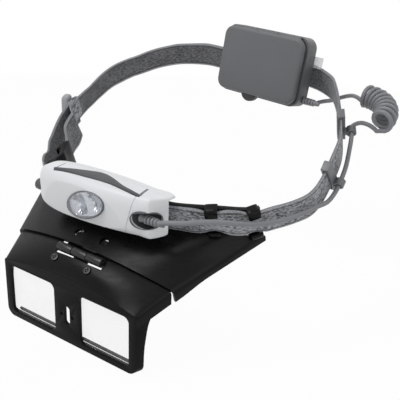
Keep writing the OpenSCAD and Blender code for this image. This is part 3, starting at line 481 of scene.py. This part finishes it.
def refined(node, name, edge=0.0, material=None, flat=2, **more):
    """A copy of a CAD part with its faces joined up and its edges rounded."""
    bm = bmesh.new()
    bm.from_mesh(nodes[node].data)
    bmesh.ops.remove_doubles(bm, verts=bm.verts, dist=2e-6)
    bmesh.ops.dissolve_limit(bm, angle_limit=math.radians(flat), verts=bm.verts, edges=bm.edges)
    return make(bm, name, material or slot_of(node), body_of(node), (node,), edge=edge, **more)


# ---------------------------------------------------------------- webbing
STRAP_HALF, STRAP_THICK = 10.0, 1.5
SECTION = [(0.35, -1.0), (0.5, -0.97), (0.5, -0.8), (0.5, -0.4), (0.5, 0), (0.5, 0.4), (0.5, 0.8), (0.5, 0.97), (0.35, 1.0),
           (-0.35, 1.0), (-0.5, 0.97), (-0.5, 0.8), (-0.5, 0.4), (-0.5, 0), (-0.5, -0.4), (-0.5, -0.8), (-0.5, -0.97),
           (-0.35, -1.0), (0.35, -1.0)]


def squeeze(s):
    """How far the keepers gather the webbing: 1 at a keeper, 0 away from it."""
    return max(math.exp(-((s - side * k) / 0.2) ** 2) for k in KEEPERS for side in (-1, 1))


# Where the elastic is drawn tight it is narrower: place on the route, then what its top and bottom edges lose.
DRAWN = [(2.9, 0, 1.0), (3.2, 0, 2.2), (3.6, 0, 2.4), (4.0, 0.4, 1.6), (4.6, 0, 1.6), (5.0, 0, 0), (10.6, 0, 0),
         (11.6, 1.6, 0), (12.1, 2.8, -0.4), (12.6, 2.7, 0), (13.2, 3.3, 0), (13.8, 3.9, -1.2), (14.4, 3.6, 0),
         (14.8, 3.9, 0.6), (15.1, 3.0, 1.2), (15.5, 1.4, 1.0)]


def drawn(s):
    for (a, top_a, low_a), (b, top_b, low_b) in zip(DRAWN, DRAWN[1:]):
        if a <= s <= b:
            t = ease(s, a, b)
            return blend(top_a, top_b, t), blend(low_a, low_b, t)
    return 0.0, 0.0


def edge_height(s, across, half=STRAP_HALF):
    """Height of a point across the webbing, with its narrower stretches."""
    top, low = drawn(s)
    return half * across - (top if across > 0 else -low) * abs(across)


def strap_shape(s, off, across):
    """A point of the webbing. It is narrower and bowed where a keeper holds it, and swells a little between keepers."""
    near = squeeze(s - (20 if s > 10 else 0))
    half = STRAP_HALF * (1 - 0.27 * near)
    swell = 1.1 * ease(abs(s), 1.25, 1.5) * ease(3.3 - abs(s), 0, 0.3) * (1 - near) if abs(s) < 3.3 else 0
    bow = 1.6 * near * (1 - across * across)
    return strap_point(s, off * STRAP_THICK + swell * (1 - 0.5 * across * across) + bow, edge_height(s, across, half))


def webbing(name, node, start, end, steps, shape):
    line = [blend(start, end, j / steps) for j in range(steps + 1)]
    run = [0.0]
    for a, b in zip(line, line[1:]):
        run.append(run[-1] + (strap_centre(b) - strap_centre(a)).length)
    make(skin(len(SECTION) - 1, steps, lambda i, j: band(shape(line[j], *SECTION[i])),
              lambda i, j: (run[j] * 0.01, SECTION[i][1] * STRAP_HALF * 0.01 + (SECTION[i][0] < 0)), closed=True, capped=True),
         name, "webbing", stands_for=(node,), sharp=60)


def tail_shape(s, off, across):
    free = max(0.0, ((s - BUCKLE) / (TAIL_END - BUCKLE) - 0.09) / 0.91)
    away = STRAP_THICK + 0.2 + 8.6 * ease(free, 0, 0.3) + 2.2 * ease(free, 0.6, 1)
    twist = 2.7 * math.sin(math.pi * free) ** 2
    high = STRAP_HALF * across * (1 - 0.25 * ease(free, 0.55, 1)) + 1.5 * ease(free, 0.4, 1)
    return strap_point(s, off * STRAP_THICK - away + twist * across, high)


webbing("front_webbing", "strap_front", BUCKLE - 20, STRAP_JOIN, 220, strap_shape)
webbing("rear_webbing", "strap_rear", STRAP_JOIN, BUCKLE, 150,
        lambda s, off, across: strap_point(s, off * STRAP_THICK, edge_height(s, across)))
webbing("webbing_tail", "strap_tail", BUCKLE, TAIL_END, 60, tail_shape)

# ---------------------------------------------------------------- brow band with its keepers
BROW = [(-3.35, -10.6), (-3.1, -11.1), (-1.4, -11.1), (-1.15, -10.7), (-1.15, 8.6), (-0.6, 10.2), (0.2, 10.9), (0.1, 11.6),
        (-0.8, 11.7), (-2.9, 11.5), (-3.35, 11.0), (-3.35, -10.6)]


def inward(s):
    """The band's free end on the wearer's right springs away from the webbing."""
    return 12 * ease(-s, 1.6, 2.25)


def brow_point(i, j, steps):
    s = blend(-BROW_END, BROW_END, j / steps)
    off, rise = BROW[i]
    near = ease(BROW_END - abs(s), 0, 0.09)
    high = rise if rise < 0 else blend(10.2, rise - 1.4 * ease(s, 0.8, 1.3), near)
    return band(strap_point(s, min(off, blend(-1.0, off, near)) - inward(s), high))


make(skin(len(BROW) - 1, 150, lambda i, j: brow_point(i, j, 150), closed=True, capped=True), "brow_band_shell",
     "black_plastic", stands_for=("brow_band",), sharp=50)


HOOK_PATHS = {1: [(-2.6, 10.6), (0.4, 10.4), (2.9, 9.9), (3.7, 8.2), (3.6, 5.4)],
              -1: [(-2.6, -10.6), (0.4, -10.4), (2.9, -9.9), (3.6, -8.6), (3.5, -7.0)]}
HOOK_WIDE, HOOK_THICK = 3.9, 1.0


def keeper_hook(s, name):
    """Two small hooks of the band that hold the webbing's upper and lower edge."""
    t = strap_along(s)
    out = Vector((t.y, -t.x, 0))
    for label, side in (("upper", 1), ("lower", -1)):
        line = smooth([(off, rise, 0) for off, rise in HOOK_PATHS[side]], 4)

        def place(i, j):
            before, after = line[max(j - 1, 0)], line[min(j + 1, len(line) - 1)]
            d = (after - before).normalized()
            normal = Vector((-d.y, d.x, 0))
            a = 2 * math.pi * i / 16
            c, sn = math.cos(a), math.sin(a)
            reach = (abs(c) ** 6 + abs(sn) ** 6) ** (-1 / 6)
            p = line[j] + normal * HOOK_THICK * sn * reach
            return band(strap_centre(s) + out * (p.x - inward(s)) + Vector((0, 0, p.y)) + t * HOOK_WIDE * c * reach)
        make(skin(16, len(line) - 1, place, closed=True, capped=True), name + "_" + label, "black_gloss",
             edge=0.45, turn=50)


for k, s in enumerate(KEEPERS):
    keeper_hook(s, "keeper_left_%d" % (k + 1))
    keeper_hook(-s, "keeper_right_%d" % (k + 1))

# ---------------------------------------------------------------- visor plate, hood and lens frame
SEAM_HALF, FRAME_HALF, LIP_Y, LIP_Z, FRAME_ARCH, PLAY = 63.6, 55.4, -11, -12.2, 6.2, 0.2
PLATE_WALL, HOOD_WALL, PLATE_ROWS, HOOD_ROWS, CORNER = 2.0, 1.8, 12, 14, 0.028
NOTCH_WIDE, NOTCH_DEEP, NOTCH_HIGH, NOTCH_SIDE, NOTCH_FRONT = 37.6, 8.4, 9.2, 2.4, 4.0
PLATE_PITCH, HOOD_PITCH = math.radians(17), math.radians(38)


def seam_point(u):
    return Vector((u * SEAM_HALF, 4.2 + 7.4 * u * u, 1.6 - 10.5 * u * u))


def lip_point(u):
    return Vector((u * FRAME_HALF, LIP_Y, LIP_Z - FRAME_ARCH * u * u))


def brow_foot(u):
    return BAND_TURN @ strap_point(u * BROW_END, -1.15, -11.1) - HINGE


def with_skirts(columns, depth, bend):
    """The columns of a shell with turned-down sides: (place across, drop) pairs, with a rounded corner of radius bend."""
    side = [(1.0, depth), (1.0, depth * 0.5)] + [(1 - bend * (1 - math.cos(a)), bend * SEAM_HALF * (1 - math.sin(a)))
                                                 for a in (0.0, 0.4, 0.8, 1.2)]
    across = [(blend(-1 + bend, 1 - bend, k / columns), 0.0) for k in range(columns + 1)]
    return [(-u, d) for u, d in side] + across + [(u, d) for u, d in reversed(side)]


def screw_pits(pitch, x, y):
    turned = Matrix.Rotation(pitch, 3, "X")
    for side in (-1, 1):
        at = turned @ Vector((side * x, y, 0))
        axis = turned @ Vector((0, 0, 1))
        yield placed(lathe([(-0.2, 0), (-0.2, 2.7), (0.6, 3.0), (16, 3.0), (16, 0)], at, axis), visor)
        yield placed(lathe([(-9, 0), (-9, 1.35), (1, 1.35), (1, 0)], at, axis, steps=24), visor)


def barrel_notch(behind):
    turned = Matrix.Rotation(PLATE_PITCH, 3, "X")
    deep = NOTCH_DEEP + behind
    return placed(block((NOTCH_WIDE, deep, NOTCH_HIGH), (NOTCH_SIDE, deep / 2 - NOTCH_FRONT, 0)),
                  lambda p: visor(turned @ p))


plate_columns = with_skirts(60, 6.5, CORNER)


def plate_place(i, j):
    u, drop = plate_columns[i]
    t = j / PLATE_ROWS
    front, back = seam_point(u) + Vector((0, PLAY, 0)), brow_foot(u)
    drop *= blend(1.0, 0.62, ease(t, 0, 0.35))
    crown = 0.9 * math.sin(math.pi * t) * (1 - u * u)
    return visor(blend(front, back, t) + Vector((0, 0.3 * drop, -drop + crown)))


make(skin(len(plate_columns) - 1, PLATE_ROWS, plate_place), "visor_plate_shell", "black_gloss",
     stands_for=("visor_plate",), wall=PLATE_WALL, edge=0.45, cuts=[barrel_notch(0)] + list(screw_pits(PLATE_PITCH, 10.5, 13.5)))

hood_columns = with_skirts(60, 8.0, CORNER)


def hood_place(i, j):
    u, drop = hood_columns[i]
    t = j / HOOD_ROWS
    a, b = seam_point(u) - Vector((0, PLAY, 0)), lip_point(u)
    c = (a + b) / 2 + Vector((0, -5.6, 2.8)) * (1 - u * u)
    p = a * (1 - t) ** 2 + c * 2 * t * (1 - t) + b * t * t
    return visor(p + Vector((0, 0, -drop)))


make(skin(len(hood_columns) - 1, HOOD_ROWS, hood_place), "hood_shell", "black_gloss", "visor", ("lens_hood",),
     wall=HOOD_WALL, edge=0.45, cuts=[barrel_notch(4), placed(block((160, 20, 120), (0, LIP_Y + PLAY - 10, -50)), visor)]
     + list(screw_pits(HOOD_PITCH, 13.5, -7.8)))

SEAM_LIP = [(-4, -1.65), (-0.5, -1.65), (-0.1, -2.4), (3, -2.4), (3, -3.3), (-4, -3.0), (-4, -1.65)]


def seam_lip(side):
    """The hood's thin lip under the plate's edge, which closes the seam to the light."""
    def place(i, j):
        y, z = SEAM_LIP[i]
        c, sn = math.cos(PLATE_PITCH), math.sin(PLATE_PITCH)
        return visor(seam_point(side * blend(0.315, 0.965, j / 24)) + Vector((0, y * c - z * sn, y * sn + z * c)))
    return skin(len(SEAM_LIP) - 1, 24, place, closed=True, capped=True)


for side, label in ((-1, "right"), (1, "left")):
    make(seam_lip(side), "hood_lip_" + label, "black_plastic", "visor", edge=0.2)
refined("lens_frame", "lens_frame_moulding", 0.55, steps=3)
refined("lens_left", "left_lens", sharp=30)
refined("lens_right", "right_lens", sharp=30)
refined("lens_retainer", "lens_rails", 0.3)
refined("hinge_leaf_upper", "upper_leaf", 0.25)
refined("hinge_leaf_lower", "lower_leaf", 0.25)
refined("hinge_pin", "barrel_pin", 0.3)
for node, name in (("hinge_screws_upper", "upper_leaf_screws"), ("hinge_screws_lower", "lower_leaf_screws"),
                   ("retainer_screws", "rail_screws")):
    refined(node, name, 0.2)

# ---------------------------------------------------------------- lamp
LAMP_HALF, LAMP_LEFT, LAMP_SPLIT, CAP_FROM, CAP_SLOPE, LAMP_MIDDLE = 50.0, 48.3, 27.0, 30.0, math.radians(13.5), 29.4
LAMP_WALL, SHELL_GAP, CAP_GAP = 1.6, 0.08, 0.12
WINDOW_X, WINDOW_Z, WINDOW_LEAN, CUP_OFF = -2.2, 28.4, math.radians(21), 6.9
FACET_MIDDLE, FACET_TILT, FACET_EDGE = -8.5, 0.12, 0.08


def lamp_rows(x):
    """Half height, middle height, half depth and middle depth of the lamp at x along it."""
    s = x / (LAMP_LEFT if x > 0 else LAMP_HALF)
    power, q = (14, x / LAMP_HALF) if x > 0 else (6, x / LAMP_HALF)
    high = (14.75 - 1.25 * q - 0.7 * q * q) * max(0.0, 1 - abs(s) ** power) ** (1 / power)
    front = 8.4 + 8.7 * q * q + 1.05 * q + 1.45 * max(0.0, x - 42)
    back = 36.6 - 3.3 * q * q + 1.05 * q
    end = 24 if x > 0 else 10
    deep = (back - front) / 2 * max(0.0, 1 - abs(s) ** end) ** (1 / end)
    return high, LAMP_MIDDLE + 0.8 * q - 1.35 * q * q, deep, (front + back) / 2


def lamp_step(j, rows):
    """Steps along the lamp that crowd together where its ends round off."""
    tau = 2 * j / rows - 1
    power, reach, till = (6, LAMP_HALF, 0.88) if tau < 0 else (14, LAMP_LEFT, 0.93)
    if abs(tau) <= 0.74:
        return tau / 0.74 * till * reach
    rest = (1 - till ** power) ** (1 / power) * (1 - (abs(tau) - 0.74) / 0.26)
    return math.copysign((1 - max(0.0, rest) ** power) ** (1 / power), tau) * reach


def facet_depth(x, z):
    """How far back the flat round the window lies."""
    along = x - FACET_MIDDLE
    return 10.57 - 0.0373 * along + 0.00122 * along ** 2 + FACET_TILT * (WINDOW_Z - z)


def lamp_point(angle, x):
    high, middle, deep, y = lamp_rows(x)
    c, sn = math.cos(angle), math.sin(angle)
    power = 4 + 5 * ease(x, 34, 47)
    reach = (abs(c) ** power + abs(sn) ** power) ** (-1 / power)
    p = Vector((x, y + deep * c * reach, middle + high * sn * reach))
    if c < 0 and abs(x) < 43:
        gap = facet_depth(p.x, p.z) - p.y
        if gap > FACET_EDGE:
            p.y += gap
        elif gap > -FACET_EDGE:
            p.y += (gap + FACET_EDGE) ** 2 / (4 * FACET_EDGE)
    return p


def lamp_top(x, y):
    high, middle, deep, centre = lamp_rows(x)
    return middle + high * max(0.0, 1 - abs((y - centre) / deep) ** 4) ** 0.25


def round_angle(i, count):
    return 2 * math.pi * (i % count) / count


def lamp_shell(rows=190, columns=208):
    steps = [lamp_step(j, rows) for j in range(rows + 1)]
    return skin(columns, rows, lambda i, j: visor(lamp_point(round_angle(i, columns), steps[j])), closed=True)


def keep_side(bm, place, normal, close=False):
    """Cuts the shell at a plane and keeps the side that the normal points to, with a flat face over the cut if asked."""
    bmesh.ops.bisect_plane(bm, geom=bm.verts[:] + bm.edges[:] + bm.faces[:], dist=1e-7, plane_co=visor(place),
                           plane_no=normal, clear_inner=True)
    if close:
        bmesh.ops.edgeloop_fill(bm, edges=[e for e in bm.edges if e.is_boundary])
        bmesh.ops.recalc_face_normals(bm, faces=bm.faces[:])
    return bm


def oval_form(half_x, half_z, y0, y1):
    """An upright oval block across the lamp's face, leaning as its window does."""
    return skin(64, 1, lambda i, j: visor(oval_point(half_x, half_z, (y0, y1)[j], round_angle(i, 64))), closed=True,
                capped=True)


def oval_point(half_x, half_z, y, angle):
    a, b = half_x * math.cos(angle), half_z * math.sin(angle)
    c, sn = math.cos(WINDOW_LEAN), math.sin(WINDOW_LEAN)
    return Vector((WINDOW_X + a * c - b * sn, y, WINDOW_Z + a * sn + b * c))


SWITCH = [(-33, 14.3, 15.3), (-27, 14.3, 16.2), (-19, 14.5, 19), (-11, 14.8, 22.2), (-6, 15, 24.2), (-1, 15.5, 25.2),
          (4.5, 16, 24.6), (12, 16.4, 22), (20, 16, 18.9), (28, 15.8, 17.6), (34.5, 16, 17)]
switch_line = smooth(SWITCH, 4)


def switch_form(grow, low, rise):
    """The swept switch: its section has a flat top with rounded edges, laid on the lamp's top."""
    last = len(switch_line) - 1
    section = [(0, -low), (1, -low), (1, rise * 0.35), (0.93, rise * 0.8), (0.75, rise), (0.25, rise), (0.07, rise * 0.8),
               (0, rise * 0.35), (0, -low)]

    def place(i, j):
        x, a, b = switch_line[j]
        x += grow if j == last else -grow if j == 0 else 0
        across, up = section[i]
        y = blend(a - grow, b + grow, across)
        return visor((x, y, lamp_top(x, y) + up))
    return skin(len(section) - 1, last, place, closed=True, capped=True)


def strap_room():
    """The room behind the lamp for the webbing and the brow band."""
    section = [(-20, -24), (0.9, -24), (0.9, 10.4), (-20, 10.4), (-20, -24)]
    return skin(4, 60, lambda i, j: band(strap_point(blend(-2.2, 2.2, j / 60), *section[i])), closed=True, capped=True)


SOCKET = Vector((41, 17.4, 28.4))
cap_normal = Vector((math.cos(CAP_SLOPE), 0, -math.sin(CAP_SLOPE)))
cap_place = Vector((CAP_FROM, 0, LAMP_MIDDLE))
PIT_MIDDLE, PIT_ALONG, PIT_OUT = Vector((39.3, 17.4, 28.4)), Vector((0.8, 0.6, 0)), Vector((0.6, -0.8, 0))
PIT_LONG, PIT_HIGH, PIT_DEEP = 9.4, 5.9, 5.4


def pit_point(turn, sunk, grow):
    """A point of the long hollow round the cord's strain relief."""
    flat = math.cos(sunk)
    return visor(PIT_MIDDLE + PIT_ALONG * (PIT_LONG + grow) * flat * math.cos(turn)
                 + Vector((0, 0, (PIT_HIGH + grow) * flat * math.sin(turn))) - PIT_OUT * (PIT_DEEP + grow) * math.sin(sunk))


def front_half():
    return keep_side(lamp_shell(), (0, LAMP_SPLIT - SHELL_GAP, 0), (0, -1, 0))


front = keep_side(front_half(), cap_place - cap_normal * CAP_GAP, -cap_normal)
make(front, "lamp_front_shell", "white_gloss", stands_for=("lamp_front",), wall=LAMP_WALL, edge=0.22,
     cuts=[oval_form(16.2, 8.9, 2, 15), switch_form(0.35, 6, 3),
           placed(lathe([(-12, 0), (-12, 4.1), (12, 4.1), (12, 0)], (-LAMP_HALF, 20, 25.5), (1, 0, 0)), visor)])
cap = keep_side(front_half(), cap_place + cap_normal * CAP_GAP, cap_normal)
make(cap, "lamp_cap", "white_gloss", stands_for=("lamp_end_cap",), wall=LAMP_WALL, edge=0.3,
     cuts=[skin(48, 24, lambda i, j: pit_point(round_angle(i, 48), math.pi * (j / 24 - 0.5), 0), closed=True)])
back = keep_side(lamp_shell(150, 112), (0, LAMP_SPLIT + SHELL_GAP, 0), (0, 1, 0), close=True)
make(back, "lamp_back_shell", "white_gloss", stands_for=("lamp_back",), edge=0.22,
     cuts=[strap_room(), placed(block((80, 3, 19), (0, 27.3, LAMP_MIDDLE)), visor),
           placed(block((16, 16, 24.5), (49, 34, 27.2)), visor)])


def pit_wall(i, j):
    """The grey wall of the hollow, up to the cap's surface."""
    turn = round_angle(i, 64)
    rim = -0.62 * math.sin(turn) ** 2
    return pit_point(turn, blend(rim, math.pi / 2, j / 20), 0.02)


make(skin(64, 20, pit_wall, closed=True), "socket_cup", "grey_soft", wall=-0.5)


def window_disc(i, j, front_y, dome, half_x, half_z):
    r = j / 16
    return visor(oval_point(half_x * r, half_z * r, front_y - dome * (1 - r * r), round_angle(i, 64)))


pane = skin(64, 16, lambda i, j: window_disc(i, j, 9.6, 0.9, 15.3, 8.1), closed=True)
make(pane, "oval_window", "window_clear", stands_for=("lamp_window",), wall=-1.0)
RING = [(0, 0.7), (0.25, 0.1), (0.75, 0), (1.1, 0.35), (1.2, 1.4), (0.6, 2.6), (0, 2.2), (0, 0.7)]


def ring_place(i, j):
    wider, deeper = RING[i]
    return visor(oval_point(15.0 + wider, 7.9 + wider, 8.9 + deeper, round_angle(j, 72)))


make(skin(len(RING) - 1, 72, ring_place, closed=True), "window_ring", "lamp_grey", stands_for=("lamp_bezel",), sharp=50)


def cup_middle(side, y):
    return Vector((WINDOW_X + side * CUP_OFF * math.cos(WINDOW_LEAN), y, WINDOW_Z + side * CUP_OFF * math.sin(WINDOW_LEAN)))


def cup_place(side):
    middle = cup_middle(side, 0)

    def place(i, j):
        a = round_angle(i, 96)
        t = j / 14
        r = blend(7.3, 1.7, t ** 0.75) * (1 + 0.045 * abs(math.sin(6 * a)) * (1 - t))
        return visor(middle + Vector((r * math.cos(a), 11.2 + 7.6 * t, r * math.sin(a))))
    return place


for side, label in ((-1, "right"), (1, "left")):
    stands = ("lamp_reflector",) if side < 0 else ()
    make(skin(96, 14, cup_place(side), closed=True), "reflector_cup_" + label, "chrome_trim", stands_for=stands,
         wall=-0.5, sharp=60)


def reflector_apron(i, j):
    """The ribbed, plated face between the cups and the window's ring."""
    a = round_angle(i, 120)
    t = j / 10
    ripple = 0.5 * math.cos(10 * a) * math.sin(math.pi * t)
    return visor(oval_point(blend(15.2, 2, t), blend(8.1, 1, t), 10.6 + 1.4 * math.sin(math.pi * t * 0.5) + ripple, a))


make(skin(120, 10, reflector_apron, closed=True), "reflector_face", "chrome_trim", wall=-0.4,
     cuts=[placed(lathe([(-6, 0), (-6, 6.6), (14, 6.6), (14, 0)], cup_middle(side, 10), (0, 1, 0)), visor)
           for side in (-1, 1)])
refined("lamp_leds", "light_sources", 0.2, turn=60)
make(switch_form(0, 2.6, 1.2), "top_switch_cover", "grey_soft", "top_switch", ("top_switch",), sharp=50)
make(placed(lathe([(-0.5, 0), (-0.3, 2.4), (0.5, 3.5), (1.6, 3.75), (8, 3.75), (8, 0)], (-LAMP_HALF - 4.1, 20, 25.5),
                  (1, 0, 0)), visor), "side_button_cap", "grey_soft", "side_button", ("side_button",), sharp=50)


def top_strip(x0, y0, x1, y1, wide):
    """A narrow inlay on the lamp's top."""
    run = Vector((x1 - x0, y1 - y0)).normalized()
    section = [(-1, -0.6), (1, -0.6), (1, 0.06), (-1, 0.06), (-1, -0.6)]

    def place(i, j):
        across, up = section[i]
        x = blend(x0, x1, j / 12) - run.y * wide / 2 * across
        y = blend(y0, y1, j / 12) + run.x * wide / 2 * across
        return visor((x, y, lamp_top(x, y) + up))
    return skin(4, 12, place, closed=True, capped=True)


make(top_strip(34.6, 17.0, 32.9, 26.2, 1.5), "cap_inlay", "grey_plastic", sharp=40)
make(top_strip(-32.6, 15.6, -32.8, 24.4, 0.7), "shell_inlay", "grey_plastic", sharp=40)


def ribbed(count, pitch, rib, neck, root, tip):
    """The profile of a ribbed strain relief that tapers to its tip."""
    line = [(root, 0), (root, rib)]
    for k in range(count):
        at, r = k * pitch, blend(rib, neck + 0.5, k / count)
        line += [(at, neck), (at + pitch * 0.22, neck), (at + pitch * 0.3, r), (at + pitch * 0.86, r),
                 (at + pitch * 0.95, neck)]
    return line + [(count * pitch, neck), (tip, neck - 0.35), (tip, 0)]


make(placed(lathe(ribbed(4, 2.3, 2.9, 1.9, -3.2, 13.4), SOCKET + Vector((-2.4, 0.2, 0)), (1, 0, 0)), visor),
     "lamp_strain_relief", "cord_grey", stands_for=("lamp_relief",), sharp=40)

# ---------------------------------------------------------------- battery box
BOX_WIDE, BOX_HIGH = 75.0, 50.0


def rounded_outline(i, count, wide, high, radius):
    """Point i of a rounded rectangle's outline."""
    per = count // 4
    corner, k = divmod(i % count, per)
    a = math.radians(90 * corner + 90 * k / (per - 1))
    cx, cz = ((1, 1), (-1, 1), (-1, -1), (1, -1))[corner]
    return cx * (wide / 2 - radius) + radius * math.cos(a), cz * (high / 2 - radius) + radius * math.sin(a)


def tray(profile, radius):
    """A closed tray from a profile of (inset, depth) pairs."""
    def place(i, j):
        inset, y = profile[j]
        x, z = rounded_outline(i, 48, BOX_WIDE - 2 * inset, BOX_HIGH - 2 * inset, max(0.8, radius - inset * 0.75))
        return box((x, y, z))
    return skin(48, len(profile) - 1, place, closed=True, capped=True)


lid_profile = [(3.6, 0.0), (2.9, 0.1), (2.2, 0.5), (1.6, 1.2), (1.35, 2.0), (1.35, 3.0), (1.5, 3.5), (2.1, 3.8), (2.1, 5.7),
               (3.6, 5.7), (3.6, 2.0), (5.0, 2.0)]
HINGE_BAR = (6.0, 23.2)
lid_cuts = [placed(lathe([(-18, 0), (-18, 2.05), (18, 2.05), (18, 0)], (x, *HINGE_BAR), (1, 0, 0)), box) for x in (-28, 28)]
lid_cuts.append(placed(block((21, 5.4, 6), (0, 5.2, 24.0)), box))
make(tray(lid_profile, 8), "lid_cover", "box_grey", "lid", ("battery_lid",), cuts=lid_cuts, edge=0.25, turn=50)
make(placed(lathe([(-9.6, 0.85), (-9.6, 1.6), (9.6, 1.6), (9.6, 0.85), (-9.6, 0.85)], (0, *HINGE_BAR), (1, 0, 0)), box),
     "lid_knuckle_bar", "box_grey", "lid", sharp=40)
make(placed(block((19.0, 3.9, 1.3), (0, 4.0, 22.1)), box), "lid_knuckle_arm", "box_grey", "lid", edge=0.3)
refined("battery_case", "box_case", 0.9, steps=4)
refined("lid_latch", "latch_button", 0.7, steps=3)
refined("strap_bracket", "clear_bracket", 0.35)
for node, name in (("lid_pin", "lid_hinge_pin"), ("bracket_screws", "bracket_fixings"), ("battery_contacts", "cell_contacts"),
                   ("battery_cells", "cells"), ("driver_board", "driver_card"), ("lamp_board", "lamp_card"),
                   ("lamp_screws", "lamp_fixings")):
    refined(node, name, 0.15, sharp=40)
make(placed(lathe(ribbed(4, 2.3, 2.7, 1.9, 0.3, 13.0), (BOX_WIDE / 2, 13, -19), (1, 0, 0)), box), "box_strain_relief",
     "cord_grey", stands_for=("box_relief",), sharp=40)

# ---------------------------------------------------------------- buckle and clips
BUCKLE_AT, ROUTE_STEP = 15.44, 24
FOLD = [(p[0], p[1]) for p in smooth([(15.72, -1.9, 0), (15.5, -2.4, 0), (15.36, -1.4, 0), (15.32, 0.6, 0),
                                      (15.38, 2.4, 0), (15.52, 3.1, 0), (15.7, 2.6, 0)], 5)]
FOLD_SECTION = [(0.5, 0.9), (0.5, -0.5), (-0.5, -0.5), (-0.5, 0.9), (0.5, 0.9)]
FOLD_ACROSS = (9, -5, 95, 109, 9)


def buckle_place(i, j):
    """The slide buckle: a thick rounded frame beside the folded webbing, narrower at its foot and leaning out."""
    t = j / 20
    rise = blend(-12, 12.5, t)
    ends = max(0.05, 1 - abs(2 * t - 1) ** 9) ** 0.5
    thick = blend(1.6, 3.7, ease(t, 0, 0.45)) * ends
    wide = blend(2.4, 3.4, ease(t, 0, 0.4)) * ends
    a = 2 * math.pi * i / 40
    c, sn = math.cos(a), math.sin(a)
    reach = (abs(c) ** 4 + abs(sn) ** 4) ** -0.25
    along, out = strap_along(BUCKLE_AT), blend(13.4, 5.8, t)
    return band(strap_point(BUCKLE_AT, out + thick * c * reach, rise) + along * wide * sn * reach)


def fold_place(i, j):
    """The webbing's fold round the buckle's inner bar."""
    s, off = FOLD[j]
    side, across = FOLD_SECTION[i]
    s0, off0 = FOLD[max(j - 1, 0)]
    s1, off1 = FOLD[min(j + 1, len(FOLD) - 1)]
    run = Vector(((s1 - s0) * ROUTE_STEP, off1 - off0)).normalized()
    return band(strap_point(s - side * run.y * STRAP_THICK / ROUTE_STEP, off + side * run.x * STRAP_THICK,
                            STRAP_HALF * across - 0.5))


make(skin(40, 20, buckle_place, closed=True, capped=True), "slide_buckle", "pale_plastic", stands_for=("buckle",), sharp=60)
make(skin(len(FOLD_SECTION) - 1, len(FOLD) - 1, fold_place, lambda i, j: (0.011 * j, FOLD_ACROSS[i] * 0.01), closed=True,
          capped=True), "webbing_fold", "webbing", edge=0.3)
refined("cord_clip_front", "front_clip", 0.7, steps=3)
refined("cord_clip_rear", "rear_clip", 0.7, steps=3)

# ---------------------------------------------------------------- floor and light
CAMERA_RAY, GLOSSY_RAY, THROUGH_RAY = 0, 3, 8
SKY_STRENGTH, FLOOR_GLOW = 0.38, 0.96


def stage():
    bpy.ops.mesh.primitive_plane_add(size=6, location=(0, 0, cad_box[0][2] - 0.0005))
    floor = bpy.context.object
    floor.name = "floor"
    f = Finish("pale_floor")
    seen, mirrored, through = (f.add("ShaderNodeLightPath", out=k) for k in (CAMERA_RAY, GLOSSY_RAY, THROUGH_RAY))
    plain = f.add("ShaderNodeBsdfDiffuse", {}, {"Color": (0.82, 0.82, 0.82, 1)})
    glow = f.add("ShaderNodeEmission", {}, {"Color": (1, 1, 1, 1), "Strength": 1.0})
    share = seen.most(mirrored).most(through) * FLOOR_GLOW
    both = f.add("ShaderNodeMixShader", {}, {0: share, 1: plain, 2: glow})
    f.join(both)
    cover(floor, f.material)
    world = bpy.data.worlds.new("studio")
    bpy.context.scene.world = world
    world.use_nodes = True
    tree = world.node_tree
    tree.nodes["Background"].inputs[0].default_value = (1, 1, 1, 1)
    rays = tree.nodes.new("ShaderNodeLightPath")
    bright = None
    for name in ("Is Camera Ray", "Is Glossy Ray", "Is Transmission Ray"):
        most = tree.nodes.new("ShaderNodeMath")
        most.operation = "MAXIMUM"
        most.inputs[0].default_value = SKY_STRENGTH
        tree.links.new(rays.outputs[name], most.inputs[1])
        if bright:
            tree.links.new(bright, most.inputs[0])
        bright = most.outputs[0]
    tree.links.new(bright, tree.nodes["Background"].inputs[1])


def lamp_panel(name, place, size, watts):
    """A soft light that faces the middle of the scene."""
    data = bpy.data.lights.new(name, "AREA")
    data.shape, data.size, data.size_y = "RECTANGLE", size[0], size[1]
    data.energy = watts
    panel = bpy.data.objects.new(name, data)
    bpy.context.scene.collection.objects.link(panel)
    panel.location = place
    panel.rotation_euler = (-Vector(place)).to_track_quat("-Z", "Y").to_euler()


stage()
lamp_panel("key_panel", (-0.42, -0.58, 1.2), (0.6, 0.6), 8.6)
lamp_panel("fill_panel", (0.95, -0.35, 0.6), (0.6, 0.8), 1.5)
lamp_panel("back_panel", (0.1, 0.9, 0.8), (1.0, 0.4), 1.9)

bpy.context.scene.view_settings.view_transform = "Standard"
